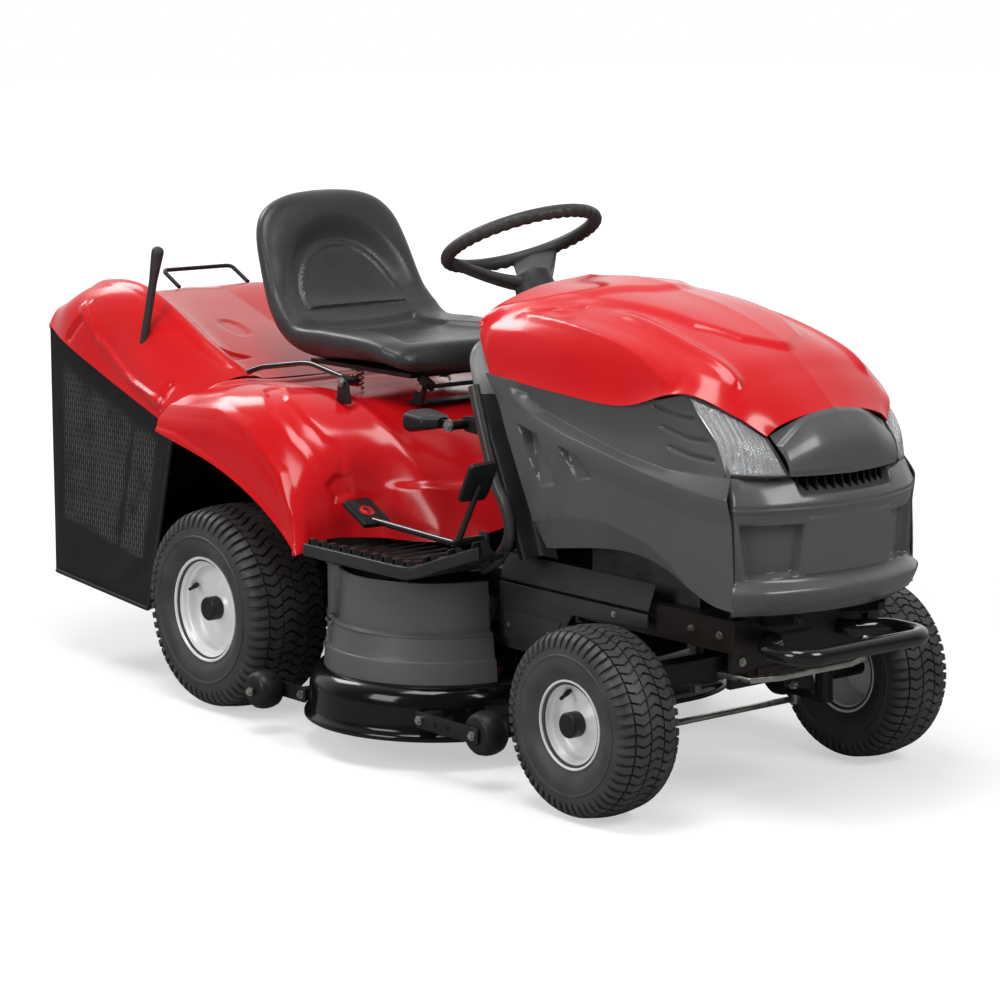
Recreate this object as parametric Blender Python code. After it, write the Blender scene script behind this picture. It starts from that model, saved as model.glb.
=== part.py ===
"""Riding lawn mower with a rear grass collector.

Metres, +X forward, +Y to the driver's left, +Z up. Every piece is laid out from the rear axle on the
ground, and the whole machine is then shifted so that the origin lies halfway along it.
"""

import math

import bmesh
import bpy
from mathutils import Matrix, Vector

# Stance
WHEELBASE = 1.21
REAR_OVERHANG = 0.72
FRONT_OVERHANG = 0.39
TYRE_SEGMENTS = 24
RIM_SEGMENTS = 14

# Rear wheels, 18 x 8.50-8, and front wheels, 15 x 6.00-6
REAR_RADIUS = 0.2285
REAR_WIDTH = 0.21
REAR_RIM = 0.118
REAR_TRACK = 0.73
FRONT_RADIUS = 0.1905
FRONT_WIDTH = 0.15
FRONT_RIM = 0.0895
FRONT_TRACK = 0.752
AXLE_SHAFT = 0.0115
RIM_DROP = 0.0115

# Frame
RAIL_OUT = 0.20
RAIL_IN = 0.168
RAIL_LOW = 0.33
RAIL_TOP = 0.395
SHEET = 0.004
PANEL = 0.004
ENGINE_X = 1.10
CRANK_X = WHEELBASE - 0.11
SEATED = 0.0003
ENGINE_BASE = RAIL_TOP - SHEET + SEATED
AXLE_TUBE = 0.028
NOSE_PLATE = 1.41

# Grass duct, from the deck to the collector: position, floor and roof
CHUTE = ((0.255, 0.10, 0.235), (0.13, 0.292, 0.43), (-0.03, 0.34, 0.51), (-0.185, 0.385, 0.60))

# Body
HOOD_HALF = 0.25
FENDER_HALF = 0.46
FLOOR = 0.405
COVER_HALF = 0.425
BAG_HALF = 0.405
BONNET_HINGE = (1.50, 0.0, 0.40)
COLLECTOR_HINGE = (-0.14, 0.0, 0.69)
HINGE_PIN = 0.005
PIN_CLEAR = 0.0006
DASH_LOW = 0.44
TANK_LOW = 0.60

# The line where the red bonnet top meets its grey sides and lamps, on the right
RED_EDGE = (
    (0.735, -HOOD_HALF + 0.004, 0.815),
    (0.95, -HOOD_HALF - 0.004, 0.802),
    (1.15, -HOOD_HALF - 0.004, 0.796),
    (1.34, -HOOD_HALF + 0.008, 0.834),
    (1.42, -HOOD_HALF + 0.040, 0.800),
    (1.466, -HOOD_HALF + 0.086, 0.758),
)

# Cutting deck
DECK_X = 0.55
BLADE_Y = 0.235
DECK_RADIUS = 0.275
DECK_LOW = 0.065
DECK_TOP = 0.175
BLADE_LENGTH = 0.524
PULLEY_RADIUS = 0.055
PULLEY_Z = DECK_TOP + 0.036
SPINDLE_TOP = DECK_TOP + 0.055

DECK_HALF = BLADE_Y + DECK_RADIUS

# Anti-scalp rollers, rear and front: position, bracket plate, bracket foot on the skirt and radius
REAR_ROLLER = 0.042
FRONT_ROLLER = 0.046
ROLLER_CLEAR = 0.0385
REAR_ROLLER_X = REAR_RADIUS + 0.0435
FRONT_ROLLER_X = WHEELBASE - FRONT_RADIUS - FRONT_ROLLER - ROLLER_CLEAR
REAR_FOOT_X = DECK_X + DECK_RADIUS * math.cos(math.radians(133.1))
FRONT_FOOT_X = DECK_X + DECK_RADIUS * math.cos(math.radians(38.6))
ROLLERS = (
    ("rear", (REAR_ROLLER_X, DECK_HALF - 0.013, 0.10), DECK_HALF - 0.055, REAR_FOOT_X, REAR_ROLLER),
    ("front", (FRONT_ROLLER_X, DECK_HALF - 0.105, 0.118), DECK_HALF - 0.058, FRONT_FOOT_X, FRONT_ROLLER),
)

# Steering
WHEEL_CENTRE = (0.545, 0.0, 1.06)
WHEEL_TILT = math.radians(25)
WHEEL_RADIUS = 0.163
KINGPIN_Y = 0.262
SLEEVE_HALF = 0.04
STEER_ARM = 0.085
TIE_ROD_Z = 0.125

# Seat
SEAT_HALF = 0.225
SEAT_FRONT = 0.40
SEAT_HINGE = (0.385, 0.0, 0.735)
PAN_LOW = 0.752

# Controls
PEDAL_PIVOT = (0.775, 0.372, 0.478)
PEDAL_PAD = (0.852, 0.614)
LIFT_PIVOT = (0.30, -0.27, 0.752)
BLADE_LEVER_PIVOT = (0.675, -0.292, 0.70)
TIP_FOOT = Vector((-0.362, -0.381, 0.702))
TIP_TOP = Vector((-0.270, -0.381, 1.006))
TIP_RADIUS = 0.0095

BLACK = (0.012, 0.012, 0.013)
GREY = (0.075, 0.076, 0.078)
RED = (0.58, 0.012, 0.018)
SILVER = (0.55, 0.55, 0.55)
ZINC = (0.62, 0.60, 0.55)

REAR_HUB = Vector((0, 0, REAR_RADIUS * math.cos(math.pi / TYRE_SEGMENTS)))
FRONT_HUB = Vector((WHEELBASE, 0, FRONT_RADIUS * math.cos(math.pi / TYRE_SEGMENTS)))
BEAM_Z = FRONT_HUB.z + 0.065
SHIFT = (WHEELBASE + FRONT_OVERHANG - REAR_OVERHANG) / 2
ALONG_Y = Matrix.Rotation(-math.pi / 2, 4, "X")
COLUMN = Matrix.Translation(WHEEL_CENTRE) @ Matrix.Rotation(-WHEEL_TILT, 4, "Y")


# Building blocks

def clear_scene():
    for obj in list(bpy.data.objects):
        bpy.data.objects.remove(obj, do_unlink=True)


def make_machine():
    machine = bpy.data.objects.new("machine", None)
    machine.location = (-SHIFT, 0, 0)
    bpy.context.scene.collection.objects.link(machine)
    return machine


def finish(obj, colour, roughness, metallic=0.0):
    """Gives the piece a surface of its own."""
    material = bpy.data.materials.new(obj.name)
    material.use_nodes = True
    shader = material.node_tree.nodes["Principled BSDF"]
    shader.inputs["Base Color"].default_value = (*colour, 1)
    shader.inputs["Roughness"].default_value = roughness
    shader.inputs["Metallic"].default_value = metallic
    obj.data.materials.append(material)
    return obj


def add(name, bm, pivot=(0, 0, 0), smooth=True):
    """Turns a bmesh in machine coordinates into an object whose origin is the pivot."""
    mesh = bpy.data.meshes.new(name)
    bm.to_mesh(mesh)
    bm.free()
    mesh.transform(Matrix.Translation(-Vector(pivot)))
    mesh.polygons.foreach_set("use_smooth", [smooth] * len(mesh.polygons))
    obj = bpy.data.objects.new(name, mesh)
    obj.location = pivot
    obj.parent = bpy.data.objects["machine"]
    bpy.context.scene.collection.objects.link(obj)
    return obj


def boolean(obj, bm, operation):
    """Joins a closed shape to the piece, or cuts it away."""
    tool = add(f"{obj.name}_{operation.lower()}", bm)
    tool.hide_render = True
    tool.display_type = "WIRE"
    modifier = obj.modifiers.new(operation.title(), "BOOLEAN")
    modifier.operation = operation
    modifier.solver = "EXACT"
    modifier.object = tool


def join(obj, *shapes):
    for shape in shapes:
        boolean(obj, shape, "UNION")
    return obj


def cut(obj, *shapes):
    for shape in shapes:
        boolean(obj, shape, "DIFFERENCE")
    return obj


def outward(bm):
    bmesh.ops.recalc_face_normals(bm, faces=bm.faces)
    return bm


def mirrored(bm):
    """The same shape on the other side of the machine."""
    twin = bm.copy()
    bmesh.ops.scale(twin, vec=(1, -1, 1), verts=twin.verts)
    bmesh.ops.reverse_faces(twin, faces=twin.faces)
    return twin


def hull(points):
    """The convex solid around some points."""
    bm = bmesh.new()
    for point in points:
        bm.verts.new(point)
    found = bmesh.ops.convex_hull(bm, input=bm.verts)
    spare = [v for v in found["geom_interior"] if isinstance(v, bmesh.types.BMVert)]
    bmesh.ops.delete(bm, geom=spare, context="VERTS")
    bmesh.ops.dissolve_limit(bm, angle_limit=0.01, verts=bm.verts, edges=bm.edges)
    return outward(bm)


def block(low, high):
    corners = [(x, y, z) for x in (low[0], high[0]) for y in (low[1], high[1]) for z in (low[2], high[2])]
    return hull(corners)


def bar(start, end, half_wide, half_thick, up=(0, 0, 1)):
    """A straight flat bar between two points."""
    start = Vector(start)
    end = Vector(end)
    side = (end - start).cross(Vector(up)).normalized()
    over = side.cross(end - start).normalized()
    corners = []
    for point in (start, end):
        for a in (-half_wide, half_wide):
            for b in (-half_thick, half_thick):
                corners.append(point + side * a + over * b)
    return hull(corners)


def lathe(profile, segments, place=Matrix()):
    """Turns a closed outline of (radius, height) pairs about an axis. A zero radius lies on the axis."""
    bm = bmesh.new()
    rings = []
    for radius, height in profile:
        if radius == 0:
            rings.append([bm.verts.new((0, 0, height))] * segments)
            continue
        ring = []
        for k in range(segments):
            turn = (2 * k + 1) * math.pi / segments
            ring.append(bm.verts.new((radius * math.cos(turn), radius * math.sin(turn), height)))
        rings.append(ring)
    for lower, upper in zip(rings, rings[1:] + rings[:1]):
        for k in range(segments):
            n = (k + 1) % segments
            corners = list(dict.fromkeys((lower[k], lower[n], upper[n], upper[k])))
            if len(corners) > 2:
                bm.faces.new(corners)
    bm.transform(place)
    return outward(bm)


def rod(start, end, radius, segments=10):
    """A round bar between two points."""
    start = Vector(start)
    end = Vector(end)
    turn = (end - start).to_track_quat("Z", "Y").to_matrix().to_4x4()
    length = (end - start).length
    profile = [(0, 0), (radius, 0), (radius, length), (0, length)]
    return lathe(profile, segments, Matrix.Translation(start) @ turn)


def bent(points, radius, steps=4):
    """A path with its corners rounded off."""
    points = [Vector(p) for p in points]
    path = [points[0]]
    for before, corner, after in zip(points, points[1:], points[2:]):
        back = (before - corner).normalized()
        ahead = (after - corner).normalized()
        reach = min(radius, (before - corner).length / 2.1, (after - corner).length / 2.1)
        start = corner + back * reach
        end = corner + ahead * reach
        for k in range(steps + 1):
            t = k / steps
            path.append(start * (1 - t) ** 2 + corner * 2 * t * (1 - t) + end * t**2)
    return path + [points[-1]]


def tube(path, radius, resolution=2):
    """A round bar swept along a path."""
    curve = bpy.data.curves.new("path", "CURVE")
    curve.dimensions = "3D"
    curve.bevel_depth = radius
    curve.bevel_resolution = resolution
    curve.use_fill_caps = True
    line = curve.splines.new("POLY")
    line.points.add(len(path) - 1)
    for point, place in zip(line.points, path):
        point.co = (*place, 1)
    guide = bpy.data.objects.new("path", curve)
    bpy.context.scene.collection.objects.link(guide)
    graph = bpy.context.evaluated_depsgraph_get()
    bm = bmesh.new()
    bm.from_mesh(guide.evaluated_get(graph).to_mesh())
    bpy.data.objects.remove(guide, do_unlink=True)
    bpy.data.curves.remove(curve)
    bmesh.ops.remove_doubles(bm, verts=bm.verts, dist=1e-6)
    return outward(bm)


def spline(points, count, start=0.0, end=1.0):
    """Evenly spaced points on a smooth curve through the given ones, between two shares of its run."""
    points = [Vector(p) for p in points]
    last = len(points) - 1
    found = []
    for k in range(count + 1):
        run = (start + (end - start) * k / count) * last
        i = min(int(run), last - 1)
        t = run - i
        b = points[i]
        c = points[i + 1]
        a = points[i - 1] if i else 2 * b - c
        d = points[i + 2] if i + 2 <= last else 2 * c - b
        bend = (2 * a - 5 * b + 4 * c - d) * t**2 + (3 * b - a - 3 * c + d) * t**3
        found.append(0.5 * (2 * b + (c - a) * t + bend))
    return found


def net(guides, along, across, ends=(0.0, 1.0), sides=(0.0, 1.0)):
    """A smooth surface through guide curves: rows along them, each running across them."""
    lines = [spline(guide, along, *ends) for guide in guides]
    return [spline(points, across, *sides) for points in zip(*lines)]


def skin(rows):
    """An open surface of four-sided faces over rows of points."""
    bm = bmesh.new()
    grid = [[bm.verts.new(point) for point in row] for row in rows]
    for row, following in zip(grid, grid[1:]):
        for k in range(len(row) - 1):
            bm.faces.new((row[k], following[k], following[k + 1], row[k + 1]))
    return bm


def thicken(obj, thickness):
    solid = obj.modifiers.new("Wall", "SOLIDIFY")
    solid.thickness = thickness
    solid.offset = -1
    solid.use_even_offset = True
    return obj


def panel(name, rows, thickness, pivot=(0, 0, 0), both_sides=False):
    """A moulded wall over rows of points, on one side or on both sides of the machine."""
    obj = add(name, skin(rows), pivot)
    if both_sides:
        mirror = obj.modifiers.new("Twin", "MIRROR")
        mirror.use_axis = (False, True, False)
        mirror.merge_threshold = 1e-4
    return thicken(obj, thickness)


def outboard(side):
    """The turn that lays an upright shape along the machine's side: -1 right, 1 left."""
    return ALONG_Y if side > 0 else ALONG_Y @ Matrix.Rotation(math.pi, 4, "X")


def side_of(side, points):
    """Points drawn on the right, moved to the given side: -1 right, 1 left."""
    return [(x, -side * y, z) for x, y, z in points]


# Wheels

def tyre(name, hub, radius, width, rim):
    """A turf tyre: its shoulder stands out and in by turns, as the lugs do."""
    half = width / 2
    bead = half - 0.02
    lug = 0.006
    bead_seat = (rim - RIM_DROP + SEATED) / math.cos(math.pi / TYRE_SEGMENTS)
    side = [
        (bead_seat, bead - 0.002),
        (rim + 0.006, bead - 0.002),
        (0.5 * (rim + radius), half),
        (radius - 0.030, half - 0.001),
        (radius - 0.010, half - 0.018),
        (radius, half - 0.045),
    ]
    profile = side + [(r, -h) for r, h in reversed(side)]
    bm = lathe(profile, TYRE_SEGMENTS, Matrix.Translation(hub) @ ALONG_Y)
    for vert in bm.verts:
        out = abs(vert.co.y - hub.y)
        turn = math.atan2(vert.co.z - hub.z, vert.co.x - hub.x)
        if out > half - 0.02 and (vert.co - hub).length > radius - 0.005:
            odd = round(turn * TYRE_SEGMENTS / (2 * math.pi) + 0.5) % 2
            vert.co.y += math.copysign(lug * (odd - 0.5), vert.co.y - hub.y)
    return finish(add(name, bm, hub), BLACK, 0.8)


def rim(name, hub, out, radius, width, dish):
    """A pressed steel wheel: two flanges, a well and a dished disc on a hub. Its face is on the out side."""
    edge = width / 2 - 0.013
    seat = radius - RIM_DROP
    wall = 0.004
    boss = 0.022
    bore = AXLE_SHAFT + 0.001
    face = edge - dish
    profile = [
        (radius, edge),
        (radius, edge - 0.005),
        (seat, edge - 0.008),
        (seat, 0.008 - edge),
        (radius, 0.005 - edge),
        (radius, -edge),
        (seat - wall, 0.006 - edge),
        (seat - wall, face - 0.012),
        (boss, face - 0.028),
        (bore, face - 0.05),
        (bore, face),
        (boss, face),
        (0.55 * seat, face - 0.022),
        (0.86 * seat, face - 0.004),
        (seat - wall, edge - 0.008),
    ]
    place = Matrix.Translation(hub) @ outboard(out)
    return finish(add(name, lathe(profile, RIM_SEGMENTS, place), hub), SILVER, 0.4, 0.2)


def make_wheels():
    for name, side in (("right", -1), ("left", 1)):
        rear = REAR_HUB + Vector((0, side * REAR_TRACK / 2, 0))
        front = FRONT_HUB + Vector((0, side * FRONT_TRACK / 2, 0))
        tyre(f"rear_tyre_{name}", rear, REAR_RADIUS, REAR_WIDTH, REAR_RIM)
        tyre(f"front_tyre_{name}", front, FRONT_RADIUS, FRONT_WIDTH, FRONT_RIM)
        rim(f"rear_rim_{name}", rear, side, REAR_RIM, REAR_WIDTH, 0.035)
        rim(f"front_rim_{name}", front, side, FRONT_RIM, FRONT_WIDTH, 0.022)


# Frame, engine and drive

def make_chassis():
    tail = -0.16
    nose = NOSE_PLATE + 0.01
    inner = RAIL_OUT - SHEET
    (middle_x, middle_low, _), (end_x, end_low, _) = CHUTE[2:]
    chute_floor = middle_low + (end_low - middle_low) * (middle_x - tail - 0.028) / (middle_x - end_x)
    rail = block((tail, RAIL_IN, RAIL_LOW), (nose, RAIL_OUT, RAIL_TOP))
    frame = add("chassis_frame", mirrored(rail), smooth=False)
    engine_plate = block((0.86, -inner, RAIL_TOP - 2 * SHEET), (1.36, inner, RAIL_TOP - SHEET))
    join(
        frame,
        rail,
        engine_plate,
        block((NOSE_PLATE - 0.01, -inner, RAIL_LOW - 0.04), (NOSE_PLATE, inner, RAIL_TOP - 0.01)),
        block((nose - 0.08, -0.13, RAIL_LOW - 0.05), (nose - 0.005, 0.13, RAIL_LOW - 0.038)),
        block((0.75, -inner, RAIL_LOW + 0.01), (0.80, inner, RAIL_LOW + 0.02)),
    )
    for x in (WHEELBASE - 0.045, WHEELBASE + 0.033):
        join(frame, block((x, -0.05, FRONT_HUB.z + 0.02), (x + 0.012, 0.05, RAIL_TOP - 0.006)))
    axle_top = REAR_HUB.z + AXLE_TUBE * math.cos(math.pi / 12)
    for side in (-1, 1):
        post = block((tail + 0.01, 0.172, RAIL_TOP - 0.02), (tail + 0.03, 0.215, COLLECTOR_HINGE[2] + 0.012))
        join(frame, post if side > 0 else mirrored(post))
        leg = block((0.30, 0.172, RAIL_TOP - 0.02), (0.32, 0.196, 0.6904))
        join(frame, leg if side > 0 else mirrored(leg))
        hanger = block((-0.03, 0.174, axle_top + SEATED), (0.05, 0.19, RAIL_LOW + 0.01))
        join(frame, hanger if side > 0 else mirrored(hanger))
        foot = block((0.755, 0.172, RAIL_TOP - 0.01), (0.80, 0.196, DASH_LOW - SEATED))
        join(frame, foot if side > 0 else mirrored(foot))
        stay = block((0.83, RAIL_IN, RAIL_TOP - 0.01), (0.855, 0.19, TANK_LOW - SEATED))
        join(frame, stay if side > 0 else mirrored(stay))
        ear = hinge_ear(NOSE_PLATE - 0.005, BONNET_HINGE, 0.105, 0.117)
        join(frame, ear if side > 0 else mirrored(ear))
    tow_z = 0.262
    join(
        frame,
        block((tail - 0.075, -0.05, tow_z - 0.008), (tail + 0.04, 0.05, tow_z)),
        block((tail + 0.012, -inner, tow_z - 0.005), (tail + 0.028, inner, chute_floor - SEATED)),
    )
    crank = rod((CRANK_X, 0, RAIL_LOW), (CRANK_X, 0, RAIL_TOP + 0.05), 0.02, 12)
    hitch = rod((tail - 0.045, 0, 0.2), (tail - 0.045, 0, 0.3), 0.009, 12)
    pivot = rod((WHEELBASE - 0.1, 0, BEAM_Z), (WHEELBASE + 0.1, 0, BEAM_Z), 0.0105, 12)
    cut(frame, crank, hitch, pivot)
    for x, _, z in (BONNET_HINGE, COLLECTOR_HINGE):
        cut(frame, rod((x, -0.3, z), (x, 0.3, z), HINGE_PIN + PIN_CLEAR, 8))
    finish(frame, BLACK, 0.45, 0.2)


def hinge_ear(root, hinge, inside, outside):
    """A lug from a plate to a hinge pin, on the left."""
    x, _, z = hinge
    outline = ((root, z - 0.028), (root, z - 0.014), (x - 0.004, z + 0.010), (x + 0.008, z + 0.006),
               (x + 0.008, z - 0.008), (x - 0.02, z - 0.012))
    return hull([(px, y, pz) for px, pz in outline for y in (inside, outside)])


def make_engine():
    """Twin-cylinder engine with an upright crankshaft, its muffler in front and the fuel tank behind."""
    low = ENGINE_BASE
    rear = ENGINE_X - 0.15
    head = ENGINE_X + 0.17
    front = ENGINE_X + 0.24
    engine = add("engine", block((rear, -0.15, low), (head, 0.15, low + 0.17)), smooth=False)
    blower = [(0, low + 0.16), (0.145, low + 0.16), (0.15, low + 0.26), (0.12, low + 0.30), (0, low + 0.30)]
    cylinder = ((head - 0.02, low + 0.03), (front, low + 0.05), (front, low + 0.15),
                (head - 0.02, low + 0.165))
    bank = hull([(x, y, z) for x, z in cylinder for y in (0.03, 0.13)])
    join(
        engine,
        lathe(blower, 20, Matrix.Translation((ENGINE_X, 0, 0))),
        block((ENGINE_X - 0.10, -0.10, low + 0.28), (ENGINE_X + 0.12, 0.10, low + 0.36)),
        bank,
        mirrored(bank),
    )
    finish(engine, (0.05, 0.05, 0.055), 0.5, 0.3)
    can = 0.042
    place = Matrix.Translation((front + SEATED + can * math.cos(math.pi / 12), 0, low + 0.10)) @ ALONG_Y
    end = [(0, 0.14), (can - 0.007, 0.14), (can, 0.125)]
    muffler = lathe(end + [(r, -y) for r, y in reversed(end)], 12, place)
    finish(add("muffler", muffler), (0.22, 0.2, 0.18), 0.6, 0.8)
    tank = add("fuel_tank", block((0.80, -0.18, TANK_LOW), (0.92, 0.18, 0.80)), smooth=False)
    join(tank, rod((0.85, -0.11, 0.78), (0.85, -0.11, 0.83), 0.03, 12))
    finish(tank, (0.5, 0.5, 0.48), 0.4)
    make_crankshaft()


def make_crankshaft():
    """The engine's output: a shaft that hangs through the frame, with the drive pulley near its end."""
    radius = 0.0125
    top = ENGINE_BASE - SEATED
    pulley = [
        (0, 0.17), (radius, 0.17), (radius, 0.195), (0.055, 0.195), (0.058, 0.20), (0.046, 0.208),
        (0.058, 0.216), (0.055, 0.221), (radius, 0.221), (radius, top), (0, top),
    ]
    shaft = lathe(pulley, 12, Matrix.Translation((CRANK_X, 0, 0)))
    finish(add("crankshaft_pulley", shaft, (CRANK_X, 0, 0.2)), (0.3, 0.3, 0.3), 0.4, 0.9)


def make_transaxle():
    low = REAR_HUB.z
    box = hull([(x, y, z) for x, z in ((-0.085, low - 0.07), (0.06, low - 0.09), (0.085, low - 0.05),
                                       (0.085, low + 0.03), (0.05, low + 0.045), (-0.085, low + 0.03))
                for y in (-0.12, 0.12)])
    transaxle = add("transaxle", box, smooth=False)
    half = REAR_TRACK / 2
    reach = half - REAR_WIDTH / 2 + 0.02
    tip = half + REAR_WIDTH / 2 - 0.034
    face = half + REAR_WIDTH / 2 - 0.013 - 0.035
    profile = [(0, -tip)]
    for sign in (-1, 1):
        cap = face + 0.0015
        stub = [(0.022, tip), (0.022, cap), (AXLE_SHAFT, cap), (AXLE_SHAFT, reach), (AXLE_TUBE, reach)]
        profile += [(r, sign * h) for r, h in (stub if sign < 0 else reversed(stub))]
    profile += [(0, tip)]
    join(transaxle, lathe(profile, 12, Matrix.Translation(REAR_HUB) @ ALONG_Y))
    finish(transaxle, (0.18, 0.18, 0.18), 0.5, 0.6)


def make_chute():
    """The duct that carries the cut grass from the deck, over the axle, to the collector."""
    half = 0.148
    bm = bmesh.new()
    rings = []
    for wall in (0, PANEL):
        for x, low, high in CHUTE if wall == 0 else reversed(CHUTE):
            w = half - wall
            ring = [(x, -w, low + wall), (x, w, low + wall), (x, w, high - wall), (x, -w, high - wall)]
            rings.append([bm.verts.new(p) for p in ring])
    for ring, following in zip(rings, rings[1:] + rings[:1]):
        for k in range(4):
            n = (k + 1) % 4
            bm.faces.new((ring[k], ring[n], following[n], following[k]))
    finish(add("discharge_chute", outward(bm), smooth=False), BLACK, 0.6)


def make_bumper():
    z = 0.345
    front = WHEELBASE + FRONT_OVERHANG - 0.017
    half = 0.175
    root = 1.436
    inside = 0.10
    path = bent(
        [(NOSE_PLATE + SEATED, -inside, z), (root, -inside, z), (root + 0.03, -half, z), (front, -half, z),
         (front, half, z), (root + 0.03, half, z), (root, inside, z), (NOSE_PLATE + SEATED, inside, z)],
        0.075, 3,
    )
    finish(add("front_bumper", tube(path, 0.017, 1)), BLACK, 0.2, 0.3)


def make_side_guard(name, side):
    """The moulded cover along the frame rail: deep behind the front wheel, shallow beside it."""
    inner = RAIL_OUT - 0.0018
    outer = 0.224
    rows = []
    for x, low in ((0.74, 0.235), (0.93, 0.235), (0.965, 0.335), (1.20, 0.345)):
        section = ((inner + 0.004, low), (outer, low + 0.012), (outer, 0.378), (inner + 0.003, 0.43))
        rows.append([(x, side * y, z) for y, z in section])
    bm = skin(rows)
    if side > 0:
        bmesh.ops.reverse_faces(bm, faces=bm.faces)
    finish(thicken(add(name, bm, smooth=False), 0.003), (0.03, 0.031, 0.033), 0.6)


# Steering and front axle

def make_front_axle():
    hub = FRONT_HUB
    beam_z = BEAM_Z
    beam = add("front_axle_beam", bar((hub.x, -KINGPIN_Y, beam_z), (hub.x, KINGPIN_Y, beam_z), 0.022, 0.022),
               (hub.x, 0, beam_z), smooth=False)
    pin = rod((hub.x - 0.056, 0, beam_z), (hub.x + 0.056, 0, beam_z), 0.01, 12)
    join(beam, pin)
    for side in (-1, 1):
        y = side * KINGPIN_Y
        join(beam, rod((hub.x, y, beam_z - SLEEVE_HALF), (hub.x, y, beam_z + SLEEVE_HALF), 0.022, 10))
        cut(beam, rod((hub.x, y, beam_z - 0.1), (hub.x, y, beam_z + 0.1), 0.0125, 10))
    finish(beam, BLACK, 0.4, 0.3)
    for name, side in (("right", -1), ("left", 1)):
        make_knuckle(f"knuckle_{name}", side, beam_z)


def make_knuckle(name, side, beam_z):
    """Kingpin, stub axle with its dust cap, and the arm that the tie rod turns."""
    hub = FRONT_HUB
    y = side * KINGPIN_Y
    low = TIE_ROD_Z + 0.006
    under = beam_z - SLEEVE_HALF - SEATED
    over = beam_z + SLEEVE_HALF + SEATED
    pin = [(0, low), (0.019, low), (0.019, under), (0.0115, under), (0.0115, over), (0.018, over),
           (0.018, over + 0.0117), (0, over + 0.0117)]
    knuckle = add(name, lathe(pin, 10, Matrix.Translation((hub.x, y, 0))), (hub.x, y, hub.z))
    half = FRONT_TRACK / 2
    face = half + FRONT_WIDTH / 2 - 0.013 - 0.022
    tip = half + FRONT_WIDTH / 2 - 0.022
    back = face - 0.052
    cap = face + 0.0015
    stub = [(0, KINGPIN_Y), (0.016, KINGPIN_Y), (0.016, back), (AXLE_SHAFT, back), (AXLE_SHAFT, cap),
            (0.019, cap), (0.017, tip), (0, tip)]
    stub = [(radius, reach - KINGPIN_Y) for radius, reach in stub]
    place = Matrix.Translation((hub.x, y, hub.z)) @ outboard(side)
    arm_z = TIE_ROD_Z + 0.013
    arm = bar((hub.x + 0.015, y, arm_z), (hub.x - STEER_ARM - 0.014, y, arm_z), 0.012, 0.005)
    join(knuckle, lathe(stub, 10, place), arm)
    cut(knuckle, rod((hub.x - STEER_ARM, y, arm_z - 0.03), (hub.x - STEER_ARM, y, arm_z + 0.03), 0.0065, 10))
    finish(knuckle, BLACK, 0.4, 0.3)


def make_tie_rod():
    x = WHEELBASE - STEER_ARM
    z = TIE_ROD_Z - 0.004
    y = KINGPIN_Y
    rod_obj = add("tie_rod", rod((x, -y, z), (x, y, z), 0.007), (x, -y, z))
    for side in (-1, 1):
        eye = [(0, -0.010), (0.011, -0.010), (0.011, 0.0095), (0.0055, 0.0095), (0.0055, 0.026), (0, 0.026)]
        join(rod_obj, lathe(eye, 10, Matrix.Translation((x, side * y, z))))
    finish(rod_obj, ZINC, 0.35, 0.9)


def make_steering():
    """Two broad spokes drop from the grooved rim, towards the rider, to a hub on the column."""
    grips = 36
    grip = 0.0135
    bm = bmesh.new()
    rings = []
    sides = 6
    for k in range(grips):
        turn = 2 * math.pi * k / grips
        ring = []
        for s in range(sides):
            lean = 2 * math.pi * (s + 0.5) / sides
            swell = 1 + (0.14 if k % 2 and math.sin(lean) < 0 else 0)
            out = WHEEL_RADIUS + grip * swell * math.cos(lean)
            rise = grip * swell * math.sin(lean)
            ring.append(bm.verts.new((out * math.cos(turn), out * math.sin(turn), rise)))
        rings.append(ring)
    for ring, following in zip(rings, rings[1:] + rings[:1]):
        for s in range(sides):
            n = (s + 1) % sides
            bm.faces.new((ring[s], ring[n], following[n], following[s]))
    bm.transform(COLUMN)
    wheel = add("steering_wheel", outward(bm), WHEEL_CENTRE)
    drop = 0.085
    for side in (-1, 1):
        turn = math.radians(180 + side * 48)
        out = Vector((math.cos(turn), math.sin(turn), 0))
        across = Vector((-out.y, out.x, 0))
        points = []
        stations = (
            (0.0, -drop - 0.012, 0.022, 0.012),
            (0.05, -drop - 0.004, 0.028, 0.010),
            (WHEEL_RADIUS, -0.004, 0.042, 0.005),
        )
        for reach, height, half, thick in stations:
            for a in (-half, half):
                for b in (-thick, thick):
                    points.append(COLUMN @ (out * reach + across * a + Vector((0, 0, height + b))))
        join(wheel, hull(points))
    low = -drop - 0.045
    high = -drop + 0.012
    hub = [(0, low), (0.034, low), (0.026, high - 0.006), (0.02, high), (0, high)]
    join(wheel, lathe(hub, 14, COLUMN))
    finish(wheel, (0.02, 0.02, 0.021), 0.55)
    top = low - 0.0005
    foot = -0.60
    thin = 0.011
    shaft = [(0, top), (thin, top), (thin, -0.52), (0.02, -0.522), (0.02, -0.55), (thin, -0.552), (thin, foot),
             (0, foot)]
    finish(add("steering_shaft", lathe(shaft, 10, COLUMN), WHEEL_CENTRE), (0.35, 0.35, 0.35), 0.35, 0.9)


# Cutting deck

def stadium(grow, z, count=24):
    """The deck's outline, grown outwards: two half circles round the blades, joined by straights."""
    points = []
    for k in range(count):
        turn = 2 * math.pi * (k + 0.5) / count
        side = 1 if math.sin(turn) > 0 else -1
        r = DECK_RADIUS + grow
        points.append((DECK_X + r * math.cos(turn), side * BLADE_Y + r * math.sin(turn), z))
    return points


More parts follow.
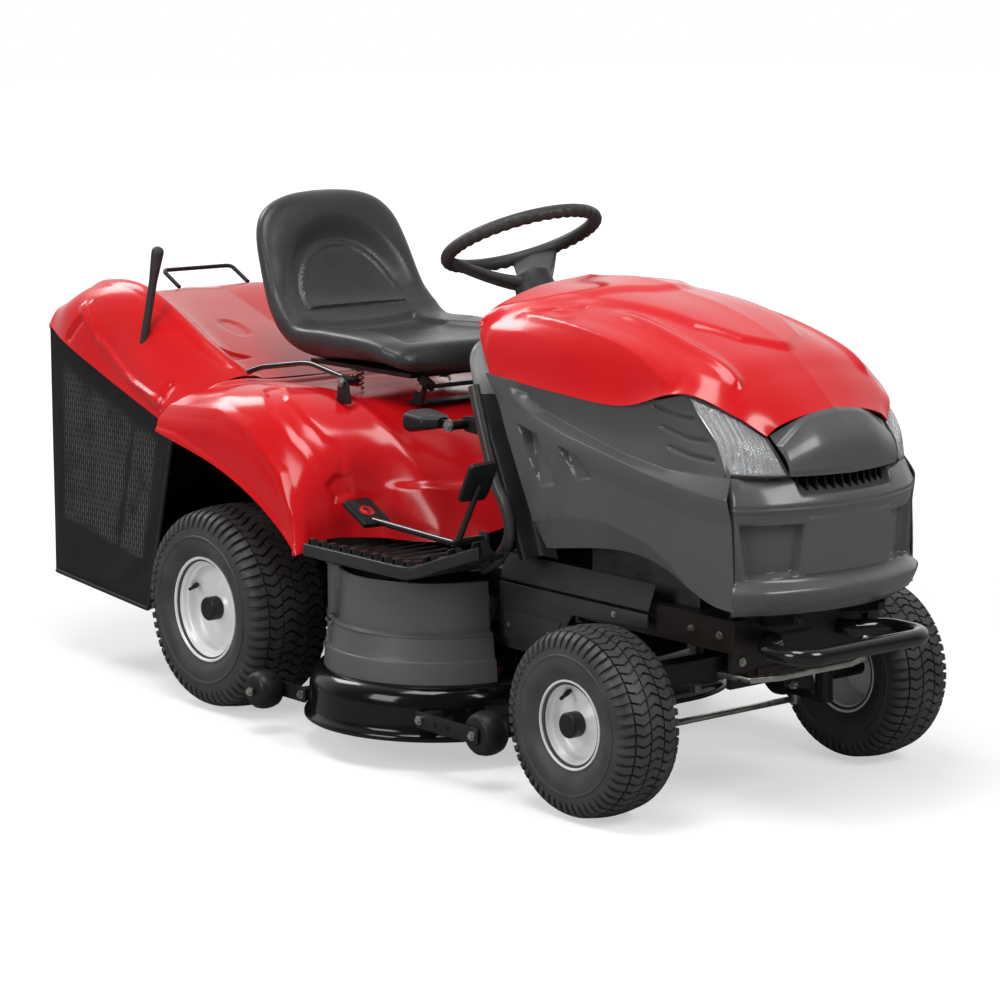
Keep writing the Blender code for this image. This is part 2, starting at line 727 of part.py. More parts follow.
def make_deck():
    bm = bmesh.new()
    rings = []
    levels = ((0.010, DECK_LOW), (0.010, DECK_LOW + 0.008), (0.0, DECK_LOW + 0.016),
              (-0.002, DECK_TOP - 0.04), (-0.012, DECK_TOP - 0.012), (-0.032, DECK_TOP))
    for grow, z in levels:
        rings.append([bm.verts.new(p) for p in stadium(grow, z)])
    for ring, following in zip(rings, rings[1:]):
        for k in range(len(ring)):
            n = (k + 1) % len(ring)
            bm.faces.new((ring[k], ring[n], following[n], following[k]))
    bm.faces.new(rings[-1])
    deck = thicken(add("deck_shell", bm, (DECK_X, 0, DECK_TOP)), 0.003)
    for side in (-1, 1):
        y = side * BLADE_Y
        cut(deck, rod((DECK_X, y, DECK_TOP - 0.05), (DECK_X, y, DECK_TOP + 0.05), 0.0148, 12))
    rear = DECK_X - DECK_RADIUS
    cut(deck, block((rear - 0.03, -0.13, DECK_LOW + 0.02), (rear + 0.03, 0.13, DECK_TOP - 0.03)))
    for _, (x, y, z), plate, foot, _ in ROLLERS:
        for side in (-1, 1):
            join(deck, *roller_bracket(x, side * y, z, side * plate, foot))
    for x in (DECK_X - 0.19, DECK_X + 0.15):
        link = block((x, RAIL_IN - 0.006, DECK_TOP - 0.002), (x + 0.025, RAIL_IN - SEATED, RAIL_TOP - 0.005))
        join(deck, link, mirrored(link))
    finish(deck, (0.006, 0.006, 0.006), 0.15, 0.3)


def roller_bracket(x, y, z, plate, end):
    """A strap from the deck's skirt to the roller, and the pin that the roller turns on."""
    tall = 0.014
    inward = -math.copysign(1, plate)
    start = x - math.copysign(0.012, end - x)
    strap = block((start, plate - 0.003, z - tall), (end, plate + 0.003, z + tall))
    pin = rod((x, plate, z), (x, plate + math.copysign(0.0768, y - plate), z), 0.006, 8)
    lug = tall - 0.002
    near = plate + inward * 0.001
    far = plate + inward * 0.05
    foot = block((end - 0.012, near, z - lug), (end + 0.012, far, z + lug))
    return strap, pin, foot


def make_rollers():
    half = 0.03
    bore = 0.0066
    for where, (x, y, z), plate, _, r in ROLLERS:
        middle = plate + math.copysign(half + 0.0045, y - plate)
        face = [(bore, half), (r - 0.008, half), (r, half - 0.014)]
        profile = face + [(radius, -height) for radius, height in reversed(face)]
        for name, side in (("right", -1), ("left", 1)):
            hub = Vector((x, side * middle, z))
            wheel = lathe(profile, 14, Matrix.Translation(hub) @ ALONG_Y)
            finish(add(f"{where}_roller_{name}", wheel, hub), BLACK, 0.6)


def make_deck_guard(name, side):
    """The stepped cover over the spindle pulley, open towards the belt."""
    first = math.radians(172)
    last = math.radians(352)
    levels = ((0.240, DECK_TOP + SEATED), (0.238, DECK_TOP + 0.045), (0.232, DECK_TOP + 0.05),
              (0.224, DECK_TOP + 0.095), (0.212, DECK_TOP + 0.102), (0.204, DECK_TOP + 0.205))
    rows = []
    count = 12
    for k in range(count + 1):
        turn = first + (last - first) * k / count
        row = [(DECK_X + r * math.cos(turn), -BLADE_Y + r * math.sin(turn), z) for r, z in levels]
        rows.append(side_of(side, row))
    bm = skin(rows)
    if side > 0:
        bmesh.ops.reverse_faces(bm, faces=bm.faces)
    finish(thicken(add(name, bm, (DECK_X, 0, DECK_TOP)), 0.003), (0.035, 0.036, 0.038), 0.5)


def make_blades():
    for name, side, turn in (("right", -1, 0), ("left", 1, 90)):
        hub = Vector((DECK_X, side * BLADE_Y, 0))
        low = DECK_LOW
        mid = PULLEY_Z
        rim = PULLEY_RADIUS
        groove = rim - 0.006
        spindle = [
            (0, low + 0.004), (0.022, low + 0.004), (0.022, low + 0.011), (0.012, low + 0.011),
            (0.012, low + 0.020), (0.03, low + 0.020), (0.03, low + 0.03), (0.014, low + 0.035),
            (0.014, mid - 0.011), (rim, mid - 0.011), (rim, mid - 0.007), (groove, mid - 0.005),
            (groove, mid + 0.005), (rim, mid + 0.007), (rim, mid + 0.011), (0.014, mid + 0.011),
            (0.014, SPINDLE_TOP), (0, SPINDLE_TOP),
        ]
        spindle = add(f"blade_spindle_{name}", lathe(spindle, 10, Matrix.Translation(hub)), hub)
        finish(spindle, (0.3, 0.3, 0.3), 0.4, 0.9)
        z = DECK_LOW + 0.0155
        half = BLADE_LENGTH / 2
        along = Matrix.Translation((hub.x, hub.y, z)) @ Matrix.Rotation(math.radians(turn), 4, "Z")
        edge = ((-half, -0.026), (-0.05, -0.03), (0.05, -0.03), (half, -0.02))
        outline = edge + tuple((-x, -y) for x, y in edge)
        bm = bmesh.new()
        base = bm.faces.new([bm.verts.new((x, y, -0.0025)) for x, y in outline])
        raised = bmesh.ops.extrude_face_region(bm, geom=[base])["geom"]
        upper = [v for v in raised if isinstance(v, bmesh.types.BMVert)]
        bmesh.ops.translate(bm, vec=(0, 0, 0.005), verts=upper)
        bm.transform(along)
        blade = add(f"blade_{name}", outward(bm), hub, smooth=False)
        cut(blade, rod((hub.x, hub.y, z - 0.02), (hub.x, hub.y, z + 0.02), 0.0128, 12))
        finish(blade, (0.25, 0.25, 0.26), 0.4, 0.9)
    make_deck_belt()


def make_deck_belt():
    """The belt that keeps both blades in step."""
    mid = PULLEY_Z
    inner = PULLEY_RADIUS - 0.0055
    rings = []
    bm = bmesh.new()
    count = 24
    outer = inner + 0.007
    for r, z in ((inner, mid - 0.004), (outer, mid - 0.004), (outer, mid + 0.004), (inner, mid + 0.004)):
        ring = []
        for k in range(count):
            turn = 2 * math.pi * (k + 0.5) / count
            side = 1 if math.sin(turn) > 0 else -1
            ring.append(bm.verts.new((DECK_X + r * math.cos(turn), side * BLADE_Y + r * math.sin(turn), z)))
        rings.append(ring)
    for ring, following in zip(rings, rings[1:] + rings[:1]):
        for k in range(count):
            n = (k + 1) % count
            bm.faces.new((ring[k], ring[n], following[n], following[k]))
    finish(add("deck_belt", outward(bm), (DECK_X, 0, DECK_TOP)), BLACK, 0.8)


# Bonnet

def make_hood_top():
    shoulder = ((0.685, -0.222, 0.905), (0.93, -0.228, 0.912), (1.15, -0.222, 0.900), (1.33, -0.20, 0.874),
                (1.41, -0.172, 0.832), (1.472, -0.135, 0.776))
    crown = ((0.73, -0.13, 0.968), (0.93, -0.125, 0.972), (1.15, -0.12, 0.952), (1.33, -0.11, 0.902),
             (1.41, -0.095, 0.852), (1.478, -0.075, 0.791))
    ridge = ((0.77, 0, 0.994), (0.93, 0, 0.993), (1.15, 0, 0.966), (1.33, 0, 0.910), (1.41, 0, 0.860),
             (1.48, 0, 0.799))
    rows = net((RED_EDGE, shoulder, crown, ridge), 12, 6, ends=(0.0, 0.998), sides=(0.008, 1.0))
    finish(panel("hood_top", rows, PANEL, BONNET_HINGE, both_sides=True), RED, 0.2)


def make_hood_side(name, side):
    """The grey flank: arched over the front wheel, with a shoulder line under the red edge."""
    lower = ((0.905, -0.246, 0.468), (1.13, -0.252, 0.497), (1.27, -0.256, 0.486), (1.40, -0.256, 0.438),
             (1.4655, -0.247, 0.425))
    belly = ((0.865, -0.252, 0.56), (1.10, -0.262, 0.585), (1.25, -0.266, 0.585), (1.38, -0.262, 0.565),
             (1.4602, -0.249, 0.55))
    swoosh = ((0.80, -0.255, 0.70), (1.06, -0.268, 0.675), (1.22, -0.268, 0.665), (1.35, -0.262, 0.668),
              (1.446, -0.249, 0.672))
    tuck = ((0.765, -0.246, 0.765), (1.02, -0.252, 0.74), (1.18, -0.252, 0.735), (1.30, -0.25, 0.755),
            (1.385, -0.238, 0.75))
    upper = (RED_EDGE[0], (0.93, -0.2535, 0.802), (1.10, -0.254, 0.796), (1.25, -0.2505, 0.812), RED_EDGE[3])
    guides = [side_of(side, guide) for guide in (lower, belly, swoosh, tuck, upper)]
    rows = net(guides, 10, 8, ends=(0.0, 1.0), sides=(0.0, 0.989))
    bm = skin(rows)
    if side > 0:
        bmesh.ops.reverse_faces(bm, faces=bm.faces)
    finish(thicken(add(name, bm, BONNET_HINGE), PANEL), GREY, 0.35)


def front_line(grow, z, recess=0.0):
    """The fascia's plan outline at one height, from the right seam to the middle."""
    return (
        (1.466 + 0.4 * grow, -0.245 - grow, z),
        (1.500 + grow - recess, -0.195 - 0.5 * grow + recess, z),
        (1.526 + grow - recess, -0.125, z),
        (1.540 + grow, -0.06, z),
        (1.544 + grow, 0, z),
    )


def make_fascia():
    guides = (
        front_line(-0.014, 0.416),
        front_line(-0.002, 0.452),
        front_line(0.004, 0.482),
        front_line(-0.004, 0.50, 0.016),
        front_line(-0.006, 0.59, 0.016),
        front_line(-0.002, 0.612),
        front_line(-0.004, 0.64),
        front_line(-0.010, 0.672),
    )
    rows = net(guides, 7, 9, ends=(0.004, 1.0), sides=(0.0, 0.99))
    fascia = panel("front_fascia", rows, PANEL, BONNET_HINGE, both_sides=True)
    x, _, z = BONNET_HINGE
    outline = ((x - 0.009, z - 0.007), (x + 0.006, z - 0.009), (x + 0.008, z + 0.002),
               (x + 0.0135, z + 0.0255), (x + 0.020, z + 0.045), (x, z + 0.030))
    lug = hull([(px, y, pz) for px, pz in outline for y in (0.1173, 0.1243)])
    pin = rod((x, 0.122, z), (x, 0.106, z), HINGE_PIN)
    join(fascia, lug, mirrored(lug), pin, mirrored(pin))
    finish(fascia, GREY, 0.35)


def make_nose():
    """The rounded cap between the lamps, over the slotted air inlet."""
    low = ((1.512, -0.148, 0.684), (1.530, -0.08, 0.682), (1.536, 0, 0.680))
    middle = ((1.500, -0.152, 0.718), (1.519, -0.08, 0.740), (1.525, 0, 0.745))
    high = ((1.463, -0.158, 0.759), (1.4795, -0.08, 0.792), (1.4825, 0, 0.802))
    rows = net((low, middle, high), 5, 5, ends=(0.012, 1.0), sides=(0.0, 0.995))
    finish(panel("nose_cap", rows, PANEL, BONNET_HINGE, both_sides=True), GREY, 0.2)


def make_lens(name, side):
    low = ((1.43, -0.240, 0.684), (1.480, -0.200, 0.684), (1.510, -0.153, 0.685))
    high = ((1.347, -0.2405, 0.827), (1.417, -0.208, 0.792), (1.463, -0.165, 0.751))
    middle = [(Vector(a) + Vector(b)) / 2 + Vector((0.006, -0.004, 0)) for a, b in zip(low, high)]
    guides = [side_of(side, guide) for guide in (low, middle, high)]
    bm = skin(net(guides, 6, 4, ends=(0.024, 0.985), sides=(0.02, 0.985)))
    if side > 0:
        bmesh.ops.reverse_faces(bm, faces=bm.faces)
    finish(thicken(add(name, bm, BONNET_HINGE), 0.003), (0.85, 0.87, 0.88), 0.08)


def make_bonnet():
    make_hood_top()
    make_fascia()
    make_nose()
    for name, side in (("right", -1), ("left", 1)):
        make_hood_side(f"hood_side_{name}", side)
        make_lens(f"headlamp_lens_{name}", side)


# Rear body, footboards and dash

def make_fender():
    """Wheel arches and seat deck in one moulding that runs down to the floor and along the tunnel."""
    lip = -FENDER_HALF - 0.003
    brow = -FENDER_HALF + 0.006
    arch = ((-0.17, lip, 0.607), (0.05, lip, 0.560), (0.19, lip, 0.510), (0.29, lip, 0.455),
            (0.352, lip + 0.003, 0.402))
    shoulder = ((-0.165, brow + 0.004, 0.645), (0.05, brow, 0.655), (0.20, brow, 0.625), (0.315, brow, 0.53),
                (0.358, brow, 0.403))
    wing = ((-0.12, -0.40, 0.69), (0.06, -0.40, 0.715), (0.22, -0.40, 0.70), (0.35, -0.395, 0.60),
            (0.372, -0.39, 0.43))
    bank = ((-0.075, -0.30, 0.708), (0.08, -0.30, 0.728), (0.26, -0.30, 0.715), (0.395, -0.30, 0.62),
            (0.42, -0.30, 0.43))
    deck = ((-0.07, -0.19, 0.70), (0.10, -0.19, 0.702), (0.32, -0.19, 0.698), (0.48, -0.20, 0.60),
            (0.60, -0.20, 0.437))
    middle = ((-0.07, 0, 0.70), (0.10, 0, 0.702), (0.34, 0, 0.698), (0.53, 0, 0.60), (0.685, 0, 0.50))
    rows = net((arch, shoulder, wing, bank, deck, middle), 11, 10)
    fender = panel("rear_fender", rows, PANEL, both_sides=True)
    x, y, z = LIFT_PIVOT
    outline = ((x - 0.025, z - 0.052), (x + 0.025, z - 0.052), (x + 0.012, z + 0.014), (x - 0.012, z + 0.014))
    ear = hull([(px, y - d, pz) for px, pz in outline for d in (0.018, 0.025)])
    join(fender, ear)
    cut(fender, rod((x, y - 0.05, z), (x, y, z), 0.0106))
    finish(fender, RED, 0.2)


def make_footboard(name, side):
    """A ribbed tread plate on the frame rails with a rim along its outer edge, rising towards the dash."""
    start = 0.378
    bend_x = 0.728
    end = 0.84
    pitch = 0.036
    rib = 0.007
    rise = 0.44
    rim_wide = 0.016
    rim_tall = 0.027
    rows = []
    x = start
    step = 0
    while x < end:
        ahead = max(0, x - bend_x)
        top = FLOOR + ahead * rise + (rib if step % 4 in (1, 2) else 0)
        inside = RAIL_IN + 0.01 if x < 0.70 else 0.276
        rows.append(side_of(side, [(x, -FENDER_HALF + ahead, top), (x, -inside, top)]))
        x += pitch * (0.18 if step % 2 == 0 else 0.32)
        step += 1
    bm = skin(rows)
    if side > 0:
        bmesh.ops.reverse_faces(bm, faces=bm.faces)
    board = thicken(add(name, bm, smooth=False), FLOOR - RAIL_TOP - SEATED)
    y = side * (FENDER_HALF + 0.0005 - rim_wide / 2)
    z = FLOOR - 0.002 + rim_tall / 2
    corner = Vector((bend_x, y, z))
    front = corner + Vector((0.10, -side * 0.10, 0.10 * rise))
    join(
        board,
        bar((start, y, z), corner, rim_wide / 2, rim_tall / 2),
        bar(corner - (front - corner) * 0.02, front, rim_wide / 2, rim_tall / 2),
    )
    px, _, pz = PEDAL_PIVOT
    low = FLOOR + (px - bend_x) * rise
    outline = ((px - 0.022, low - 0.012), (px + 0.022, low), (px + 0.011, pz + 0.014),
               (px - 0.011, pz + 0.014))
    ear = hull([(x, side * y, z) for x, z in outline for y in (0.289, 0.296)])
    join(board, ear)
    cut(board, rod((px, side * 0.25, pz), (px, side * 0.33, pz), 0.0086))
    finish(board, (0.02, 0.02, 0.021), 0.6)


def make_dash():
    """The leg shield and instrument tower behind the bonnet, with the steering column's bearing."""
    flank = ((0.935, -0.230, 0.45), (0.885, -0.231, 0.60), (0.80, -0.230, 0.77), (0.76, -0.216, 0.83),
             (0.74, -0.19, 0.868))
    throat = ((0.886, -0.232, 0.45), (0.830, -0.234, 0.60), (0.745, -0.233, 0.775), (0.70, -0.220, 0.835),
              (0.70, -0.19, 0.87))
    edge = ((0.862, -0.262, 0.44), (0.797, -0.265, 0.60), (0.712, -0.26, 0.775), (0.668, -0.235, 0.84),
            (0.672, -0.20, 0.876))
    shin = ((0.80, -0.20, 0.44), (0.745, -0.20, 0.60), (0.67, -0.20, 0.78), (0.645, -0.19, 0.855),
            (0.70, -0.16, 0.90))
    middle = ((0.775, 0, 0.44), (0.72, 0, 0.60), (0.645, 0, 0.79), (0.62, 0, 0.87), (0.71, 0, 0.925))
    rows = net((flank, throat, edge, shin, middle), 7, 8)
    tower = panel("dash_tower", rows, PANEL, both_sides=True)
    x, y, z = BLADE_LEVER_PIVOT
    outline = ((-0.014, 0.010), (0, 0.016), (0.073, 0.02))
    ear = hull([(x + dx, y + d, z + s * dz) for dx, dz in outline for s in (-1, 1) for d in (0.033, 0.040)])
    join(tower, ear)
    cut(tower, rod((x, y, z), (x, y + 0.06, z), 0.0106))
    cut(tower, lathe([(0, -0.45), (0.0118, -0.45), (0.0118, -0.135), (0, -0.135)], 14, COLUMN))
    finish(tower, (0.02, 0.019, 0.019), 0.5)


# Seat

def make_seat():
    """One-piece bucket: a dished base that turns up into a rounded backrest."""
    spine = ((SEAT_FRONT, 0.792), (0.30, 0.802), (0.14, 0.798), (0.0, 0.795), (-0.085, 0.86), (-0.13, 0.98),
             (-0.172, 1.122))
    path = spline([(x, 0, z) for x, z in spine], 16)
    ring_count = 18
    rings = []
    bm = bmesh.new()
    for k, point in enumerate(path):
        t = k / 16
        before = path[max(k - 1, 0)]
        after = path[min(k + 1, 16)]
        run = (after - before).normalized()
        up = Vector((-run.z, 0, run.x)) * -1
        if up.z < 0 and abs(run.z) < 0.7:
            up = -up
        top = max(0.0, (t - 0.6) / 0.4)
        half = SEAT_HALF * (1 - 0.16 * top) * math.sqrt(1 - 0.72 * top**6) * min(1.0, 0.9 + t)
        thick = 0.032 if 0.05 < t < 0.96 else 0.022
        bolster = 0.035 * math.sin(math.pi * min(1.0, t * 1.05)) ** 0.7
        ring = []
        for s in range(ring_count):
            turn = 2 * math.pi * s / ring_count
            c = math.cos(turn)
            q = math.sin(turn)
            y = half * math.copysign(abs(c) ** 0.6, c)
            lift = thick * math.copysign(abs(q) ** 0.8, q) + bolster * (abs(y) / SEAT_HALF) ** 2.4
            ring.append(bm.verts.new(point + Vector((0, y, 0)) + up * lift))
        rings.append(ring)
    for ring, following in zip(rings, rings[1:]):
        for s in range(ring_count):
            n = (s + 1) % ring_count
            bm.faces.new((ring[s], ring[n], following[n], following[s]))
    bm.faces.new(rings[0])
    bm.faces.new(rings[-1])
    finish(add("seat_cushion", outward(bm), SEAT_HINGE), (0.035, 0.036, 0.037), 0.45)
    x, _, z = SEAT_HINGE
    plate = block((-0.01, -0.15, PAN_LOW), (x - 0.03, 0.15, PAN_LOW + 0.0098))
    pan = add("seat_pan", plate, SEAT_HINGE, smooth=False)
    for side in (-1, 1):
        y = side * 0.12
        join(pan, bar((x - 0.04, y, PAN_LOW + 0.002), (x + 0.008, y, z), 0.004, 0.010))
    join(pan, rod((x, -0.15, z), (x, 0.15, z), HINGE_PIN, 8))
    finish(pan, BLACK, 0.45, 0.3)
    make_seat_mounts()


def make_seat_mounts():
    floor = 0.6967
    x, _, z = SEAT_HINGE
    plate = block((x - 0.05, -0.145, floor), (x - 0.005, 0.145, floor + SHEET))
    bracket = add("seat_bracket", plate, smooth=False)
    outline = ((x - 0.045, floor + 0.002), (x - 0.008, floor + 0.002), (x + 0.012, z + 0.010),
               (x - 0.012, z + 0.010))
    for side in (-1, 1):
        y = side * 0.138
        join(bracket, hull([(px, y + d, pz) for px, pz in outline for d in (-0.0035, 0.0035)]))
    cut(bracket, rod((x, -0.2, z), (x, 0.2, z), HINGE_PIN + 0.001, 10))
    finish(bracket, ZINC, 0.4, 0.8)
    for name, side in (("right", -1), ("left", 1)):
        make_seat_spring(f"seat_spring_{name}", (0.13, side * 0.125, 0.7048))


def make_seat_spring(name, foot):
    """A compression spring between the seat deck and the pan. Its wire ends run out straight."""
    radius = 0.0135
    wire = 0.0022
    turns = 4
    height = PAN_LOW - SEATED - wire - foot[2]
    per_turn = 9
    path = []
    for k in range(turns * per_turn + 1):
        turn = 2 * math.pi * k / per_turn
        rise = height * k / (turns * per_turn)
        path.append(Vector(foot) + Vector((radius * math.cos(turn), radius * math.sin(turn), rise)))
    first = (path[0] - path[1]).normalized() * 2 * wire
    last = (path[-1] - path[-2]).normalized() * 2 * wire
    first.z = 0
    last.z = 0
    least = min((a - b).length for i, a in enumerate(path) for b in path[i + per_turn - 2:]) - 2 * wire
    print(f"{name}: least gap between curls {least * 1000:.2f} mm")
    coil = tube([path[0] + first] + path + [path[-1] + last], wire, 1)
    finish(add(name, coil, foot), (0.55, 0.42, 0.2), 0.3, 1.0)


# Grass collector

def make_collector():
    make_collector_cover()
    make_grass_bag()
    handle_z = 0.905
    x = -0.655
    path = bent([(x + 0.05, -0.10, handle_z - 0.032), (x - 0.02, -0.10, handle_z), (x - 0.02, 0.10, handle_z),
                 (x + 0.05, 0.10, handle_z - 0.032)], 0.02, 3)
    finish(add("collector_handle", tube(path, 0.005, 1), COLLECTOR_HINGE), BLACK, 0.4, 0.3)
    length = (TIP_TOP - TIP_FOOT).length
    profile = [
        (0, 0), (TIP_RADIUS, 0), (TIP_RADIUS, 0.24), (0.012, 0.27),
        (0.0145, length - 0.012), (0.010, length), (0, length),
    ]
    turn = (TIP_TOP - TIP_FOOT).to_track_quat("Z", "Y").to_matrix().to_4x4()
    lever = lathe(profile, 10, Matrix.Translation(TIP_FOOT) @ turn)
    finish(add("tipping_lever", lever, TIP_FOOT), (0.04, 0.041, 0.043), 0.55)


def make_collector_cover():
    """Raised rails on both sides of a shallow dish, falling towards the seat."""
    skirt = ((-REAR_OVERHANG, -0.395, 0.793), (-0.60, -COVER_HALF + 0.004, 0.757),
             (-0.40, -COVER_HALF, 0.688), (-0.175, -COVER_HALF - 0.006, 0.617))
    flank = ((-0.705, -0.375, 0.832), (-0.60, -0.395, 0.845), (-0.40, -0.392, 0.80), (-0.165, -0.42, 0.662))
    rail = ((-0.675, -0.33, 0.853), (-0.57, -0.33, 0.90), (-0.38, -0.325, 0.885), (-0.09, -0.30, 0.722))
    bank = ((-0.672, -0.235, 0.856), (-0.56, -0.235, 0.878), (-0.36, -0.23, 0.83), (-0.083, -0.225, 0.715))
    dish = ((-0.67, 0, 0.858), (-0.56, 0, 0.862), (-0.36, 0, 0.80), (-0.082, 0, 0.712))
    rows = net((skirt, flank, rail, bank, dish), 8, 9)
    cover = panel("collector_cover", rows, PANEL, COLLECTOR_HINGE, both_sides=True)
    x, _, z = COLLECTOR_HINGE
    outline = ((x - 0.010, z - 0.008), (x + 0.010, z - 0.008), (x + 0.025, z + 0.038), (x - 0.025, z + 0.058))
    lug = hull([(px, y, pz) for px, pz in outline for y in (0.2153, 0.2223)])
    pin = rod((x, 0.22, z), (x, 0.195, z), HINGE_PIN)
    join(cover, lug, mirrored(lug), pin, mirrored(pin))
    cut(cover, rod(TIP_FOOT, TIP_TOP, TIP_RADIUS + PIN_CLEAR, 12))
    finish(cover, RED, 0.2)


def make_grass_bag():
    """The mesh bag: open towards the chute and closed by the cover above."""
    wall = 0.006
    bm = bmesh.new()
    top_rear = (-0.70, 0.784)
    top_front = (-0.19, 0.598)
    low_rear = (-0.70, 0.205)
    low_front = (-0.30, 0.172)

    def ring(y, inset):
        return [
            (top_front[0] - inset, y, top_front[1]),
            (top_rear[0] + inset, y, top_rear[1]),
            (low_rear[0] + inset, y, low_rear[1] + inset),
            (low_front[0] - inset, y, low_front[1] + inset),
        ]

    outer = [[bm.verts.new(p) for p in ring(y, 0)] for y in (-BAG_HALF, BAG_HALF)]
    inner = [[bm.verts.new(p) for p in ring(y, wall)] for y in (-BAG_HALF + wall, BAG_HALF - wall)]
    for k in (1, 2):
        bm.faces.new((outer[0][k], outer[0][k + 1], outer[1][k + 1], outer[1][k]))
        bm.faces.new((inner[0][k], inner[1][k], inner[1][k + 1], inner[0][k + 1]))
    for side in (0, 1):
        bm.faces.new(outer[side])
        bm.faces.new(inner[side])
        bm.faces.new((outer[side][0], outer[side][1], inner[side][1], inner[side][0]))
        bm.faces.new((outer[side][3], outer[side][0], inner[side][0], inner[side][3]))
    bm.faces.new((outer[0][1], outer[1][1], inner[1][1], inner[0][1]))
    bm.faces.new((outer[0][3], outer[1][3], inner[1][3], inner[0][3]))
    finish(add("grass_bag", outward(bm), COLLECTOR_HINGE, smooth=False), (0.015, 0.015, 0.016), 0.9)


# Controls

def pedal_pad(centre, lean):
    """A rounded tread pad on the end of a pedal arm."""
    place = Matrix.Translation(centre) @ Matrix.Rotation(lean, 4, "Y")
    corners = ((-0.042, -0.034), (-0.048, 0.028), (-0.04, 0.036), (0.036, 0.036), (0.045, 0.028),
               (0.042, -0.034))
    points = [place @ Vector((x, y, z)) for x, y in corners for z in (-0.006, 0.006)]
    return hull(points)


def make_pedals():
    """The rocker drive pedal on the right, with a pad for each way of travel, and the brake on the left."""
    px, py, pz = PEDAL_PIVOT
    pad_x, pad_z = PEDAL_PAD
    heel_x = 0.483
    heel_z = 0.498
    wire = 0.007
    lean = math.radians(-62)
    rise = [(px + 0.012, pz), (pad_x + 0.008, pad_z - 0.004)]
    path = [(heel_x + 0.007, heel_z - 0.01), (px - 0.02, pz)] + rise
    drive = add("drive_pedal", tube(bent([(x, -py, z) for x, z in path], 0.02, 3), wire), (px, -py, pz))
    join(
        drive,
        pedal_pad((heel_x, -py, heel_z), math.radians(-20)),
        pedal_pad((pad_x, -py, pad_z), lean),
        rod((px, -py - 0.004, pz), (px, -0.285, pz), 0.008),
    )
    finish(drive, BLACK, 0.5)
    path = [(px, pz)] + rise
    brake = add("brake_pedal", tube(bent([(x, py, z) for x, z in path], 0.01, 2), wire, 1), (px, py, pz))
    join(brake, pedal_pad((pad_x, py, pad_z), lean), rod((px, py + 0.004, pz), (px, 0.285, pz), 0.008))
    finish(brake, BLACK, 0.5)


def make_levers():
    """The cutting-height lever beside the seat, and the blade clutch lever beside the dash."""
    x, y, z = LIFT_PIVOT
    path = [LIFT_PIVOT, (0.135, y + 0.008, 0.775), (-0.03, y - 0.005, 0.749), (-0.062, y - 0.016, 0.736)]
    lift = add("deck_lift_lever", tube(bent(path, 0.03, 2), 0.006, 1), LIFT_PIVOT)
    join(lift, rod((x, y + 0.015, z), (x, y - 0.028, z), 0.010))
    finish(lift, BLACK, 0.4, 0.3)
    x, y, z = BLADE_LEVER_PIVOT
    blade = add("blade_lever", rod((x, y - 0.012, z), (x, y + 0.042, z), 0.010), BLADE_LEVER_PIVOT)
    outline = ((-0.125, 0, 0.03), (-0.11, 0.015, 0.03), (-0.035, 0.012, 0.012), (-0.035, -0.01, 0.012),
               (-0.115, -0.018, 0.03))
    grip = hull([(x + dx, y + d, z + dz) for dx, dz, half in outline for d in (-half, half)])
    join(blade, bar((x - 0.055, y, z), BLADE_LEVER_PIVOT, 0.006, 0.008), grip)
    finish(blade, BLACK, 0.5)


clear_scene()
make_machine()
make_chassis()
make_engine()
make_transaxle()
make_chute()
make_bumper()
make_wheels()
make_front_axle()
make_tie_rod()
make_steering()
make_deck()
make_rollers()
make_blades()
make_bonnet()
make_fender()
make_dash()
make_seat()
make_collector()
make_pedals()
make_levers()
for SIDE_NAME, SIDE in (("right", -1), ("left", 1)):
    make_side_guard(f"side_guard_{SIDE_NAME}", SIDE)
    make_footboard(f"footboard_{SIDE_NAME}", SIDE)
    make_deck_guard(f"deck_guard_{SIDE_NAME}", SIDE)
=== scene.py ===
"""A riding lawn mower with a rear grass collector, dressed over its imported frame."""

import math

import bmesh
import bpy
import numpy as np
from mathutils import Matrix, Vector


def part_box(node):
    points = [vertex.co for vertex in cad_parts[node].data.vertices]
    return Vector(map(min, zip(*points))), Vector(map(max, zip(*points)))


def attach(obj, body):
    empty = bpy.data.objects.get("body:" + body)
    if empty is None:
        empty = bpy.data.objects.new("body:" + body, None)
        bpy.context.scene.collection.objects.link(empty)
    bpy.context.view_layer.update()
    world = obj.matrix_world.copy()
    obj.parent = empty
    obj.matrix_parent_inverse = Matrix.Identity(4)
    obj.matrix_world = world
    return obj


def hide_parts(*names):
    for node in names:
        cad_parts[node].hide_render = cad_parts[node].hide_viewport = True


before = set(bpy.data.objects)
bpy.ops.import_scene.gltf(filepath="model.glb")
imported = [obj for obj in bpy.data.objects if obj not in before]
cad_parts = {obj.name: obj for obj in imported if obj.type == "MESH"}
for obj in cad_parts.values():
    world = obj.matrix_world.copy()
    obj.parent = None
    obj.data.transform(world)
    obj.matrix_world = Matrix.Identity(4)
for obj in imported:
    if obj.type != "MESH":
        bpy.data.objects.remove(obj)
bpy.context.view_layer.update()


# Frame: folded steel rails and cross plates, welded together and dipped in brown-black paint.
# The dip lies unevenly, so its gloss wanders. All places here count from the rear axle.
REAR_AXLE = sum(corner[0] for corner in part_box("rear_tyre_right")) / 2


def node(tree, kind, feeds=(), **options):
    """Adds a node, sets its options and feeds its sockets with values or with other nodes."""
    fresh = tree.nodes.new(kind)
    for key, value in options.items():
        setattr(fresh, key, value)
    for socket, feed in feeds:
        if isinstance(feed, bpy.types.NodeSocket):
            tree.links.new(feed, fresh.inputs[socket])
        else:
            fresh.inputs[socket].default_value = feed
    return fresh


